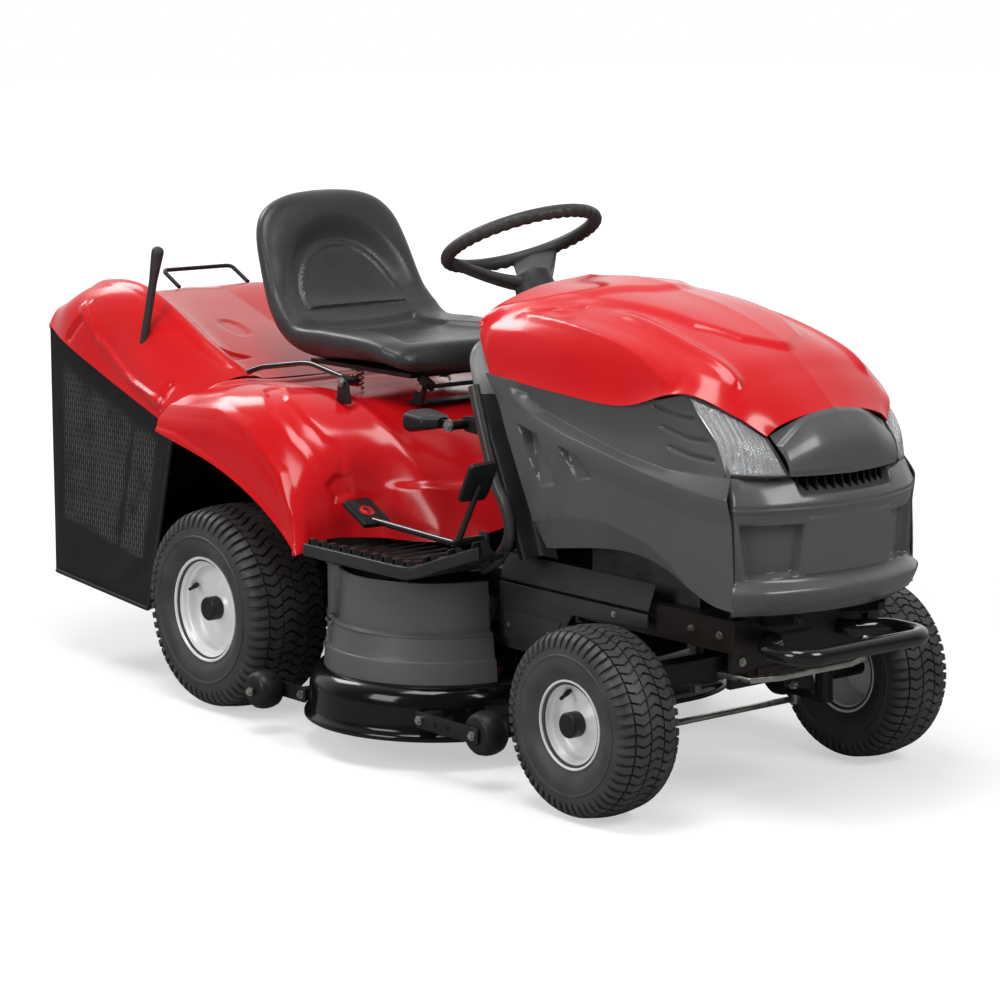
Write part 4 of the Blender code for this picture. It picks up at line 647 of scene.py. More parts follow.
for axle, plate, foot, way in (("rear", 0.455, 0.362, 1), ("front", 0.452, 0.765, -1)):
    x, z = ROLLER_PINS[axle]
    ahead = math.copysign(1, foot - x)
    ends = sorted((x - 0.016 * ahead, foot + 0.014 * ahead))
    strap = slab(eased(oblong(*ends, z - 0.017, z + 0.017), 0.006), plate - 0.003, plate + 0.003, bevel=0.001)
    knee = slab(oblong(foot - 0.013, foot + 0.013, plate - 0.052, plate), z - 0.013, z + 0.013, axis="z")
    pin = turned(eased(oblong(0, 0.006, 0, 0.076), 0.001), 16, axle_end(Vector((x, plate, z)), way))
    place_both(f"{axle}_roller_strap", mirrored(joined(strap, knee, pin)), bracket_paint, "deck",
               crease=30)
    # Two near-black discs on each strap paint the shade seen through its holes.
    hole_x = x * 0.42 + foot * 0.58
    rounds = [oval(hole_x + shift, z, 0.006, 0.006, 16) for shift in (-0.02, 0.02)]
    hole_shades = [slab(outline, plate - 0.0034, plate + 0.0034, bevel=0) for outline in rounds]
    place_both(f"{axle}_strap_holes", mirrored(joined(*hole_shades)), painted_hole_shade, "deck")
    for side_name, side in SIDES:
        seats = ((x, plate + way * 0.0725, way), (x, plate - way * 0.0035, -way), (foot, plate + 0.0035, 1))
        heads = [((at, side * y, z), (0, side * out, 0)) for at, y, out in seats]
        bolts(f"{axle}_strap_bolts_{side_name}", heads, "deck", 0.0065, 0.006)


# Deck links, blades, spindles and belt: four flat bars hang the deck below the frame, pinned at both ends. The
# blades and spindles are bare steel, and a rubber belt keeps both blades in step.
belt_rubber = worked("belt_rubber", (0.012, 0.012, 0.012), 0.7, cloud=30.0, fade=0.6, grain=600.0, depth=0.3)
blade_steel = worked("blade_steel", (0.28, 0.27, 0.26), 0.40, metallic=1.0, cloud=22.0, fade=0.55, sway=0.12)
LINK_Y = 0.165
for axle, x in (("rear", 0.36), ("front", 0.70)):
    for side_name, side in SIDES:
        link = slab(oblong(x, x + 0.025, 0.17, 0.389), side * LINK_Y - 0.0025, side * LINK_Y + 0.0025)
        place(f"lift_link_{axle}_{side_name}", link, bracket_paint, "deck")
for side_name, _ in SIDES:
    coat_solid(f"blade_{side_name}", blade_steel)
    coat_solid(f"blade_spindle_{side_name}", blade_steel)
coat_solid("deck_belt", belt_rubber)


# Belt guards: stepped plastic covers over the spindle pulleys, paler than the deck, with a sunk arch at the
# rear end. Each is one moulding that stands on the top of the deck.
guard_plastic = worked("guard_plastic", (0.092, 0.093, 0.095), 0.36, cloud=4.0, fade=0.82, sway=0.05, grain=350.0)
MOULDING = 0.003
GUARD = ((0.242, 0.1753), (0.2415, 0.181), (0.239, 0.2165), (0.2365, 0.222), (0.2325, 0.226), (0.2255, 0.268),
         (0.2235, 0.2725), (0.2145, 0.277), (0.2125, 0.281), (0.2065, 0.374), (0.204, 0.379), (0.199, 0.380))


def curve(points, count, start=0.0, end=1.0):
    """Evenly spaced points on a smooth curve through the given ones, between two shares of its run."""
    points = np.asarray(points, float)
    padded = np.concatenate((2 * points[:1] - points[1:2], points, 2 * points[-1:] - points[-2:-1]))
    run = np.linspace(start, end, count + 1) * (len(points) - 1)
    i = np.minimum(run.astype(int), len(points) - 2)
    t = (run - i).reshape(-1, *[1] * (points.ndim - 1))
    a, b, c, d = (padded[i + k] for k in range(4))
    return 0.5 * (2 * b + (c - a) * t + (2 * a - 5 * b + 4 * c - d) * t**2 + (3 * b - a - 3 * c + d) * t**3)


def facing(grid):
    """The outward directions of a surface given as rows of points."""
    normal = np.cross(np.gradient(grid, axis=0), np.gradient(grid, axis=1))
    return normal / np.maximum(np.linalg.norm(normal, axis=2, keepdims=True), 1e-12)


def wall(grid, thickness):
    """A thin moulded wall under a surface given as rows of points."""
    rows, columns = grid.shape[:2]
    outer = np.arange(rows * columns).reshape(rows, columns)
    inner = outer + rows * columns
    quads = np.stack((outer[:-1, :-1], outer[1:, :-1], outer[1:, 1:], outer[:-1, 1:]), -1).reshape(-1, 4)
    back = np.stack((inner[:-1, :-1], inner[:-1, 1:], inner[1:, 1:], inner[1:, :-1]), -1).reshape(-1, 4)
    border = np.concatenate((outer[0], outer[1:, -1], outer[-1, -2::-1], outer[-2::-1, 0]))
    rim = np.stack((border[:-1], border[1:], border[1:] + rows * columns, border[:-1] + rows * columns), -1)
    points = np.concatenate((grid.reshape(-1, 3), (grid - facing(grid) * thickness).reshape(-1, 3)))
    mesh = bpy.data.meshes.new("wall")
    mesh.from_pydata(points.tolist(), [], np.concatenate((quads, back, rim)).tolist())
    return mesh


def step(low, high, value):
    """A soft step from 0 to 1 between two levels."""
    t = np.clip((value - low) / (high - low), 0, 1)
    return t * t * (3 - 2 * t)


def within(u, v, corners):
    """How deep each point lies inside a convex outline whose corners run anticlockwise."""
    depth = np.full(np.shape(u), 9.0)
    for (a, b), (c, d) in zip(corners, corners[1:] + corners[:1]):
        depth = np.minimum(depth, ((c - a) * (v - b) - (d - b) * (u - a)) / math.hypot(c - a, d - b))
    return depth


turns = np.radians(np.linspace(168, 352, 150))
levels = curve(GUARD, 110)
guard_grid = np.empty((len(turns), len(levels), 3))
tall = levels[:, 1]
for row, turn in zip(guard_grid, turns):
    reach = levels[:, 0] + (0.240 - levels[:, 0]) * step(math.radians(236), math.radians(218), turn)
    row[:] = np.stack((BLADE_X + reach * math.cos(turn), -BLADE_Y + reach * math.sin(turn), tall), -1)
arch_u = np.degrees(turns)[:, None] / 250 + 0 * tall
arch_v = tall[None, :] + 0 * arch_u
arch_foot = within(arch_u, arch_v, oblong(0.912, 0.976, 0.205, 0.335))
arch_crown = 0.032 - np.hypot(arch_u - 0.944, arch_v - 0.335)
sunk = np.maximum(arch_foot, np.where(arch_v > 0.335, arch_crown, -1))
guard_grid = guard_grid - facing(guard_grid) * (0.011 * step(0.0, 0.007, sunk))[..., None]
guard = wall(guard_grid, MOULDING)
place_both("belt_guard", guard, guard_plastic, "deck", "deck_guard", crease=40)


# Anti-scalp rollers: barrels of black plastic at the corners of the deck, moulded in one piece each.
# They spin on the pins of the roller straps.
roller_plastic = worked("roller_plastic", (0.014, 0.014, 0.0145), 0.44, cloud=14.0, fade=0.6, sway=0.1, grain=260.0,
                        depth=0.25)
ROLLER_END = 0.0295
for axle, middle, radius in (("rear", 0.4895, 0.042), ("front", 0.4175, 0.046)):
    barrel = [(0.0066, -ROLLER_END), (radius - 0.013, -ROLLER_END), (radius - 0.010, -0.0285),
              (radius - 0.004, -0.0215), (radius - 0.0008, -0.010), (radius, 0.0)]
    barrel += [(r, -h) for r, h in reversed(barrel[:-1])]
    x, z = ROLLER_PINS[axle]
    for side_name, side in SIDES:
        wheel = turned(barrel, 56, axle_end(Vector((x, side * middle, z)), side))
        place(f"{axle}_scalp_roller_{side_name}", wheel, roller_plastic, f"roller_{axle}_{side_name}",
              [f"{axle}_roller_{side_name}"], crease=36)


# Bonnet top: one red moulding, lacquered. A collar rises in front of the dash, a flat bulge runs down its
# middle, and sharp creases and a rounded rib run along each shoulder to the lamps.
red_gloss = worked("red_gloss", (0.56, 0.0062, 0.0095), 0.20, coat=0.20, cloud=2.5, fade=0.93, sway=0.03, grain=900.0,
                   depth=0.02)
RED_EDGE = ((0.735, -0.246, 0.815), (0.95, -0.254, 0.802), (1.15, -0.254, 0.796), (1.318, -0.2452, 0.833),
            (1.42, -0.21, 0.800), (1.466, -0.164, 0.758))
HOOD_TOP = (
    RED_EDGE,
    ((0.685, -0.222, 0.905), (0.93, -0.228, 0.912), (1.15, -0.222, 0.900), (1.33, -0.20, 0.874), (1.41, -0.172, 0.832),
     (1.472, -0.135, 0.776)),
    ((0.73, -0.13, 0.968), (0.93, -0.125, 0.972), (1.15, -0.12, 0.952), (1.33, -0.11, 0.902), (1.41, -0.095, 0.852),
     (1.478, -0.075, 0.791)),
    ((0.77, 0, 0.994), (0.93, 0, 0.993), (1.15, 0, 0.966), (1.33, 0, 0.910), (1.41, 0, 0.860), (1.48, 0, 0.799)),
)


def net(guides, along, across, ends=(0.0, 1.0), sides=(0.0, 1.0)):
    """A smooth surface through guide curves: rows along them, each running across them."""
    lines = np.stack([curve(guide, along, *ends) for guide in guides])
    return curve(lines, across, *sides).swapaxes(0, 1)


def beside(u, v, line):
    """How far each point lies from a line of points, positive on the line's left."""
    found = np.full(np.shape(u), 9.0)
    for (a, b), (c, d) in zip(line, line[1:]):
        t = np.clip(((u - a) * (c - a) + (v - b) * (d - b)) / ((c - a) ** 2 + (d - b) ** 2), 0, 1)
        du = u - a - t * (c - a)
        dv = v - b - t * (d - b)
        away = np.hypot(du, dv)
        found = np.where(away < abs(found), np.copysign(away, (c - a) * dv - (d - b) * du), found)
    return found


def fold(away, reach):
    """The height of a sharp crease at a way off its middle line."""
    return np.maximum(0, 1 - abs(away) / reach)


def lifted(grid, height):
    """A surface moved outwards by a height at each point."""
    return grid + facing(grid) * height[..., None]


def both_sides(grid, axis):
    """A surface of the right half, carried on over the middle to the left."""
    twin = np.flip(grid, axis) * (1, -1, 1)
    return np.concatenate((grid, np.delete(twin, 0, axis)), axis)


grid = net(HOOD_TOP, 230, 84, ends=(0.0, 0.998), sides=(-0.02, 1.0))
x, y = grid[..., 0], grid[..., 1]
fore_aft = step(0.77, 0.83, x) * step(1.31, 1.25, x)
shoulder = beside(x, y, [(0.788, -0.203), (0.995, -0.218), (1.156, -0.227), (1.279, -0.239)])
height = 0.0085 * fold(shoulder, 0.024) ** 1.4 * fore_aft
pad = beside(x, y, [(0.726, -0.233), (0.822, -0.232), (0.959, -0.240), (1.077, -0.247)])
height += 0.0022 * fold(pad, 0.015) * step(1.08, 0.95, x)
rib = beside(x, y, [(1.02, -0.157), (1.166, -0.168), (1.25, -0.173), (1.385, -0.170)])
height += 0.0075 * bead(rib, 0.0125) * step(1.0, 1.10, x)
bulge = beside(x, y, [(1.36, 0.03), (1.345, -0.016), (1.302, -0.076), (1.212, -0.117), (1.077, -0.129), (0.94, -0.143),
                      (0.70, -0.16)])
height += 0.009 * step(0.012, -0.012, bulge) * step(0.78, 0.98, x)
facet = within(x, y, [(0.776, -0.198), (0.853, -0.204), (0.932, -0.190), (0.948, -0.153), (0.858, -0.172)])
height -= 0.0045 * step(0.0, 0.006, facet)
collar = beside(x, y, [(0.70, -0.215), (0.724, -0.198), (0.923, -0.122), (1.014, -0.042), (1.03, 0.01)])
height += 0.008 * step(-0.022, 0.014, collar)
bonnet = wall(both_sides(lifted(grid, height), 1), MOULDING)
place("bonnet_top", bonnet, red_gloss, "bonnet", ["hood_top"], crease=60)


# Bonnet sides: grey moulded flanks with a satin skin, arched over the front wheels. A ledge sweeps along
# them under the red edge, two sunk vents lie behind it and three short gills in front.
grey_gloss = worked("grey_gloss", (0.081, 0.081, 0.082), 0.30, coat=0.25, cloud=3.0, fade=0.88, sway=0.04, grain=650.0,
                    depth=0.05)
HOOD_SIDE = (
    ((0.905, -0.246, 0.468), (1.13, -0.252, 0.497), (1.27, -0.256, 0.486), (1.40, -0.256, 0.438),
     (1.4655, -0.247, 0.425)),
    ((0.865, -0.252, 0.56), (1.10, -0.262, 0.585), (1.25, -0.266, 0.585), (1.38, -0.262, 0.565),
     (1.4602, -0.249, 0.55)),
    ((0.80, -0.255, 0.70), (1.06, -0.268, 0.675), (1.22, -0.268, 0.665), (1.35, -0.262, 0.668),
     (1.446, -0.249, 0.672)),
    ((0.765, -0.246, 0.765), (1.02, -0.252, 0.74), (1.18, -0.252, 0.735), (1.30, -0.25, 0.755), (1.398, -0.240, 0.75)),
    (RED_EDGE[0], (0.93, -0.2535, 0.802), (1.10, -0.254, 0.796), (1.235, -0.2515, 0.812), RED_EDGE[3]),
)
grid = net(HOOD_SIDE, 210, 150, sides=(0.0, 0.989))
x, z = grid[..., 0], grid[..., 2]
over = beside(x, z, [(0.72, 0.84), (0.806, 0.797), (0.908, 0.752), (1.041, 0.722), (1.167, 0.697), (1.286, 0.682),
                     (1.45, 0.682)])
under = beside(x, z, [(0.74, 0.81), (0.898, 0.738), (0.994, 0.713), (1.108, 0.694), (1.232, 0.671), (1.344, 0.653),
                      (1.45, 0.643)])
ledge = np.where(over >= 0, 1.0, np.where(under <= 0, 0.0, under / np.maximum(under - over, 1e-6)))
height = 0.010 * step(-0.06, 0.0, under) - 0.021 * ledge * step(0.80, 0.86, x)
VENTS = ([(0.91, 0.596), (0.963, 0.608), (0.909, 0.705), (0.842, 0.719)],
         [(1.03, 0.624), (1.08, 0.636), (1.04, 0.678), (0.979, 0.693)])
GILLS = ([(1.231, 0.798), (1.292, 0.784), (1.335, 0.782)], [(1.252, 0.760), (1.317, 0.747), (1.373, 0.745)],
         [(1.278, 0.725), (1.34, 0.715), (1.396, 0.712)])
for vent in VENTS:
    sunk = 0.001 + 0.22 * np.clip(z - vent[0][1], 0, 0.1)
    height -= sunk * step(0.0, 0.005, within(x, z, vent))
for gill in GILLS:
    height -= 0.006 * bead(beside(x, z, gill), 0.004)
arch = beside(x, z, [(0.90, 0.525), (0.977, 0.545), (1.104, 0.554), (1.226, 0.531), (1.289, 0.504), (1.36, 0.45)])
height -= 0.22 * np.maximum(0, -arch)
flank = wall(lifted(grid, height), MOULDING)
place_both("bonnet_side", flank, grey_gloss, "bonnet", "hood_side", crease=50)


# Front fascia: a grey moulding under the lamps, with a sunk pocket on each side, a proud middle panel and a
# lip along its foot. It hangs on the bonnet's two hinge lugs.
def front_line(grow, z):
    """The fascia's plan outline at one height, from the right seam to the middle."""
    return ((1.466 + 0.4 * grow, -0.245 - grow, z), (1.500 + grow, -0.195 - 0.5 * grow, z), (1.526 + grow, -0.125, z),
            (1.540 + grow, -0.06, z), (1.544 + grow, 0, z))


FASCIA = [front_line(*level) for level in (
    (-0.014, 0.416), (0.0, 0.430), (0.010, 0.452), (0.010, 0.466), (-0.008, 0.485), (-0.008, 0.52), (-0.006, 0.60),
    (0.0, 0.622), (-0.004, 0.638), (-0.021, 0.669), (-0.040, 0.681))]
grid = net(FASCIA, 110, 130, ends=(0.004, 1.0), sides=(0.0, 0.99))
y, z = grid[..., 1], grid[..., 2]
pocket = within(y, z, [(-0.222, 0.486), (-0.124, 0.491), (-0.115, 0.590), (-0.238, 0.594)])
height = -0.019 * step(0.0, 0.007, pocket)
height += 0.004 * step(0.114, 0.110, abs(y)) * step(0.488, 0.494, z) * step(0.606, 0.600, z)
height -= 0.002 * bead(z - 0.625, 0.0035)
middle = step(0.128, 0.114, abs(y))
grid = lifted(grid, height)
grid[..., 2] -= 0.018 * middle * step(0.638, 0.674, z)
grid[..., 0] -= 0.012 * middle * step(0.645, 0.674, z)
edge = np.interp(grid[0, :, 2], (0.425, 0.55, 0.672), (1.4655, 1.4602, 1.446))
seam = np.stack((edge - 0.010, np.full(len(edge), -0.243), grid[0, :, 2]), -1)
grid = np.concatenate((seam[None], (seam[None] + 2 * grid[:1]) / 3 + (0.002, -0.003, 0), grid))
place("fascia_skin", wall(both_sides(grid, 0), MOULDING), grey_gloss, "bonnet", ["front_fascia"],
      crease=45)
# A thin near-black strip along the top of each pocket paints the shade of a slot.
slot = slab([(-0.228, 0.577), (-0.120, 0.574), (-0.119, 0.586), (-0.231, 0.589)], 0, 0.004, axis="x", bevel=0)
for vert in slot.vertices:
    vert.co.x += 1.4845 - 0.62 * max(0.0, -vert.co.y - 0.13) - 0.9 * max(0.0, -vert.co.y - 0.20)
black_plastic = worked("black_plastic", (0.0085, 0.0085, 0.009), 0.42, cloud=8.0, fade=0.7, grain=280.0)
place("fascia_slot_shade", joined(slot, mirrored(slot)), painted_hole_shade, "bonnet")
HINGE_LUG = [(1.491, 0.393), (1.506, 0.391), (1.508, 0.402), (1.5135, 0.4255), (1.520, 0.445), (1.50, 0.430)]
LUG_Y = 0.1208
for side_name, side in SIDES:
    lug = slab(HINGE_LUG, side * LUG_Y - 0.0035, side * LUG_Y + 0.0035, bevel=0.0012)
    pin = turned(oblong(0, 0.005, -0.0085, 0.0085), 20, axle_end(Vector((1.50, side * 0.1145, 0.40)), side))
    place(f"bonnet_hinge_lug_{side_name}", joined(lug, pin), black_plastic, "bonnet")


# Nose: a rounded grey cap between the lamps, moulded like the bonnet's sides and clipped into the bonnet.
# Below it, upright black bars stand in front of the air inlet, and a near-black plate behind them paints the shade
# inside the inlet.
NOSE = (((1.512, -0.148, 0.684), (1.530, -0.08, 0.682), (1.536, 0, 0.680)),
        ((1.500, -0.152, 0.718), (1.519, -0.08, 0.740), (1.525, 0, 0.745)),
        ((1.463, -0.158, 0.759), (1.4795, -0.08, 0.792), (1.4825, 0, 0.802)))
grid = net(NOSE, 70, 60, ends=(0.012, 1.0), sides=(0.0, 0.995))
y, z = grid[..., 1], grid[..., 2]
rim = np.minimum.reduce((z - 0.684, 0.155 + y, (grid[..., 0] - 1.478) * 0.8))
grid = lifted(grid, -0.005 * step(0.010, 0.0, rim) + 0.0015)
place("nose_skin", wall(both_sides(grid, 0), 0.004), grey_gloss, "bonnet", ["nose_cap"], crease=50)
# The inlet has no depth: a near-black plate behind the bars paints the shade inside it.
back = [(1.466, -0.150), (1.492, -0.08), (1.498, 0.0), (1.492, 0.08), (1.466, 0.150)]
inlet = slab(back + [(x - 0.012, y) for x, y in reversed(back)], 0.640, 0.690, axis="z", bevel=0)
place("inlet_shade_plate", inlet, painted_hole_shade, "bonnet")
bar = slab([(1.484, 0.648), (1.519, 0.648), (1.514, 0.684), (1.484, 0.686)], -0.0022, 0.0022, bevel=0.0008)
bar.transform(Matrix.Translation((0, -0.115, 0)))
bars = grown(repeat, bar, Copies=12, Step=(0, 0.0209, 0), Turn=(0, 0, 0), Material=black_plastic)
for vert in bars.vertices:
    vert.co.x -= 1.4 * vert.co.y**2
place("inlet_bars", bars, black_plastic, "bonnet")


# Headlamps: clear plastic lenses with fine ribs on their inner side, over bright plated reflectors.
# A dark moulded frame holds each lens and fills its joint to the nose.
def lens_clear():
    """Clear plastic with fine upright ribs inside it."""
    material = worked("lens_clear", (0.93, 0.94, 0.95), 0.06, cloud=4.0, fade=0.97, sway=0.03, grain=900.0, depth=0.01)
    tree = material.node_tree
    sockets = tree.nodes["Principled BSDF"].inputs
    sockets["Transmission Weight"].default_value = 0.85
    sockets["IOR"].default_value = 1.35
    where = node(tree, "ShaderNodeTexCoord").outputs["Object"]
    ribs = node(tree, "ShaderNodeTexWave", [("Vector", where), ("Scale", 42.0), ("Distortion", 0.4)],
                bands_direction="Y")
    relief(tree, ribs.outputs["Fac"], 0.9, 0.002)
    return material


LENS_LOW = np.array(((1.43, -0.240, 0.684), (1.480, -0.200, 0.684), (1.510, -0.153, 0.685)))
LENS_HIGH = np.array(((1.325, -0.2435, 0.827), (1.417, -0.208, 0.792), (1.463, -0.165, 0.751)))
LENS_MIDDLE = (LENS_LOW + LENS_HIGH) / 2 + np.array(((0.021, -0.003, 0), (0.010, -0.004, 0), (0.006, -0.004, 0)))
lens_plastic = lens_clear()
chrome = worked("lamp_reflector", (0.30, 0.305, 0.31), 0.20, metallic=0.9, cloud=20.0, fade=0.7, sway=0.06)
LENS = (LENS_LOW, LENS_MIDDLE, LENS_HIGH)
lens = wall(net(LENS, 48, 40, ends=(0.024, 0.985), sides=(0.02, 0.985)), 0.0025)
deep = net(LENS, 60, 44, ends=(0.03, 0.975), sides=(0.03, 0.975))
u, v = np.meshgrid(np.linspace(0, 1, 61), np.linspace(0, 1, 45), indexing="ij")
rise = 4 * np.minimum.reduce((u, 1 - u, v, 1 - v))
bowl = 0.012 + 0.024 * step(0, 1, rise) * (0.75 + 0.25 * np.cos(14 * u)) + 0.0035 * (np.sin(26 * math.pi * u) > 0.2)
reflector = wall(lifted(deep, -bowl), 0.002)
inner_end = [edge[-1] for edge in LENS]
edges = (curve(LENS_HIGH, 24), curve(LENS_LOW, 24), curve(inner_end, 16))
surround = joined(*(tube(path + (-0.004, 0.003, 0), 0.0045, 8) for path in edges))
place_both("lens", lens, lens_plastic, "bonnet", "headlamp_lens")
place_both("reflector", reflector, chrome, "bonnet", crease=30)
place_both("lamp_frame", surround, cover_plastic, "bonnet")


# Rear body: one red moulding with the wheel arches, the seat deck and the tunnel. A long groove and a sunk
# pocket break up each corner above the footboard.
FENDER = (
    ((-0.17, -0.463, 0.607), (0.05, -0.463, 0.560), (0.19, -0.463, 0.510), (0.29, -0.463, 0.455),
     (0.352, -0.460, 0.402)),
    ((-0.165, -0.450, 0.645), (0.05, -0.454, 0.655), (0.20, -0.454, 0.625), (0.315, -0.454, 0.53),
     (0.358, -0.454, 0.403)),
    ((-0.12, -0.40, 0.69), (0.06, -0.40, 0.715), (0.22, -0.40, 0.70), (0.35, -0.395, 0.60), (0.372, -0.39, 0.43)),
    ((-0.075, -0.30, 0.708), (0.08, -0.30, 0.728), (0.26, -0.30, 0.715), (0.395, -0.30, 0.62), (0.42, -0.30, 0.43)),
    ((-0.07, -0.19, 0.70), (0.10, -0.19, 0.702), (0.32, -0.19, 0.698), (0.48, -0.20, 0.60), (0.60, -0.20, 0.437)),
    ((-0.07, 0, 0.70), (0.10, 0, 0.702), (0.34, 0, 0.698), (0.53, 0, 0.60), (0.685, 0, 0.50)),
)
grid = net(FENDER, 190, 130)
x, y, z = grid[..., 0], grid[..., 1], grid[..., 2]
groove = beside(x, y, [(0.147, -0.368), (0.21, -0.398), (0.29, -0.399), (0.345, -0.388), (0.372, -0.366)])
height = -0.005 * step(0.026, 0.010, abs(groove)) * step(0.50, 0.56, z)
pocket = within(y, z, [(-0.375, 0.505), (-0.331, 0.522), (-0.340, 0.566), (-0.372, 0.570), (-0.392, 0.545)])
height -= 0.006 * step(-0.004, 0.012, pocket) * step(0.30, 0.34, x)
brow = beside(x, z, [(-0.20, 0.662), (0.05, 0.676), (0.17, 0.650), (0.29, 0.565), (0.345, 0.47), (0.36, 0.40)])
height += 0.004 * fold(brow, 0.02) * step(-0.42, -0.44, y)
rib = beside(x, y, [(0.0, -0.255), (0.25, -0.262), (0.42, -0.245), (0.55, -0.222)])
height += 0.004 * bead(rib, 0.016)
hem = beside(x, z, [(-0.2, 0.609), (-0.1, 0.601), (0.05, 0.562), (0.19, 0.512), (0.29, 0.457), (0.352, 0.404)])
height += 0.003 * step(0.012, 0.004, hem) * step(-0.44, -0.455, y)
height += 0.009 * step(0.556, 0.534, z) * step(-0.31, -0.26, y) * step(0.41, 0.48, x)
grid = lifted(grid, height)
behind = np.linspace(0, 1, len(grid))[:, None]
grid[..., 2] += 0.012 * step(0.045, 0.0, behind) * step(-0.385, -0.33, y)
fender = wall(both_sides(grid, 1), MOULDING)
ear = slab(eased([(0.275, 0.705), (0.325, 0.705), (0.312, 0.766), (0.288, 0.766)], 0.006), -0.295, -0.288, bevel=0.001)
place("rear_body", fender, red_gloss, "chassis", ["rear_fender"], crease=50)
place("lift_lever_ear", ear, bracket_paint, "chassis")


# Footboards: black moulded tread plates on the frame rails. Ribs run across them and end in upright teeth
# behind a plain rim, which turns in and up towards the dash.
def tread_profile(x):
    """The share of a rib's height at a place along the board."""
    phase = ((x - 0.385) / 0.036) % 1.0
    return step(0.0, 0.14, phase) * step(0.62, 0.46, phase)


rows = np.arange(0.380, 0.8395, 0.002)
shares = np.linspace(0, 1, 34)
board = np.empty((len(rows), len(shares), 3))
for row, x in zip(board, rows):
    ahead = max(0.0, x - 0.728)
    out = 0.4555 - ahead
    inner = 0.20 if x < 0.70 else 0.276
    y = out + (inner - out) * shares**1.4
    tooth = step(out - 0.040, out - 0.012, y)
    row[:] = np.stack((np.full(len(y), x), -y, 0.405 + 0.44 * ahead + tread_profile(x) * (0.007 + 0.030 * tooth)), -1)


def band(path, section):
    """A bar of a given section, (out, up) pairs, swept level along a path."""
    loops = []
    for k, point in enumerate(path):
        run = path[min(k + 1, len(path) - 1)] - path[max(k - 1, 0)]
        out = Vector((-run.y, run.x, 0)).normalized()
        loops.append([point - out * a + Vector((0, 0, b)) for a, b in section])
    return loft(loops)


RIM_LINE = ((0.378, -0.4535, 0.403), (0.56, -0.4535, 0.403), (0.695, -0.4535, 0.403), (0.738, -0.4445, 0.4065),
            (0.772, -0.4125, 0.4215), (0.832, -0.352, 0.449))
rim_path = [Vector(point) for point in curve(RIM_LINE, 60)]
rim_section = eased(oblong(-0.007, 0.007, 0.0, 0.027), 0.004)
ear = slab(eased([(0.753, 0.414), (0.797, 0.426), (0.786, 0.492), (0.764, 0.492)], 0.005), -0.296, -0.289, bevel=0.001)
sill = slab([(0.385, 0.398), (0.72, 0.398), (0.70, 0.3965), (0.40, 0.3965)], -0.44, -0.21, bevel=0)
tread = joined(wall(board, 0.0025), band(rim_path, rim_section), ear, sill)
tread_plastic = worked("tread_plastic", (0.026, 0.025, 0.0245), 0.38, cloud=7.0, fade=0.75, sway=0.06, grain=260.0)
place_both("footboard_tread", tread, tread_plastic, "chassis", "footboard", crease=32)


# Dash tower: the black leg shield behind the bonnet, with a grey rounded trim along each edge that runs down
# into the footboard's rim, and the bearing of the steering column on top.
DASH = (
    ((0.935, -0.230, 0.45), (0.885, -0.231, 0.60), (0.80, -0.230, 0.77), (0.76, -0.216, 0.83), (0.74, -0.19, 0.868)),
    ((0.886, -0.232, 0.45), (0.830, -0.234, 0.60), (0.745, -0.233, 0.775), (0.70, -0.220, 0.835), (0.70, -0.19, 0.87)),
    ((0.862, -0.262, 0.44), (0.797, -0.265, 0.60), (0.712, -0.26, 0.775), (0.668, -0.235, 0.84),
     (0.672, -0.20, 0.876)),
    ((0.80, -0.20, 0.44), (0.745, -0.20, 0.60), (0.67, -0.20, 0.78), (0.645, -0.19, 0.855), (0.70, -0.16, 0.90)),
    ((0.775, 0, 0.44), (0.72, 0, 0.60), (0.645, 0, 0.79), (0.62, 0, 0.87), (0.71, 0, 0.925)),
)
shield = wall(both_sides(net(DASH, 60, 110, ends=(0.0, 0.49)), 1), MOULDING)
place("dash_shield", shield, black_plastic, "chassis", ["dash_tower"], crease=50)
grid = net(DASH, 60, 110, ends=(0.485, 1.0))
crown = wall(both_sides(lifted(grid, np.full(grid.shape[:2], 0.0015)), 1), MOULDING)
crown_plastic = worked("crown_plastic", (0.17, 0.17, 0.172), 0.36, fade=0.85, sway=0.05)
place("dash_crown", crown, crown_plastic, "chassis", crease=50)
TRIM_LINE = ((0.706, -0.262, 0.782), (0.736, -0.268, 0.716), (0.784, -0.270, 0.597), (0.817, -0.271, 0.550),
             (0.831, -0.271, 0.512), (0.828, -0.271, 0.478), (0.794, -0.269, 0.436), (0.742, -0.267, 0.407))
trim = tube(curve(TRIM_LINE, 90), 0.0145, 20, flat=0.8)
trim_plastic = worked("trim_plastic", (0.042, 0.039, 0.038), 0.32, fade=0.85, sway=0.05)
place("dash_trim", joined(trim, mirrored(trim)), trim_plastic, "chassis")
COLLAR = [(0.0118, -0.27), (0.030, -0.27), (0.027, -0.165), (0.018, -0.150), (0.0118, -0.150)]
collar = turned(eased(COLLAR, 0.004), 40, column)
place("column_collar", collar, black_plastic, "chassis")
LEVER_EAR = [(0.661, 0.690), (0.661, 0.710), (0.675, 0.716), (0.735, 0.72), (0.735, 0.68), (0.675, 0.684)]
ear = slab(eased(LEVER_EAR, 0.004), -0.259, -0.252, bevel=0.001)
place("blade_lever_ear", ear, black_plastic, "chassis")


# Seat: a one-piece bucket of foam under grey vinyl. Raised bolsters run round it, and a D-shaped panel is
# sewn into the backrest.
def seat_vinyl():
    """Vinyl with an embossed hide grain."""
    material = worked("seat_vinyl", (0.042, 0.0425, 0.043), 0.31, fade=0.86, sway=0.05, grain=260.0, depth=0.2)
    tree = material.node_tree
    where = node(tree, "ShaderNodeTexCoord").outputs["Object"]
    hide = node(tree, "ShaderNodeTexVoronoi", [("Vector", where), ("Scale", 190.0)], feature="DISTANCE_TO_EDGE")
    relief(tree, hide.outputs["Distance"], 0.35, 0.0012)
    return material


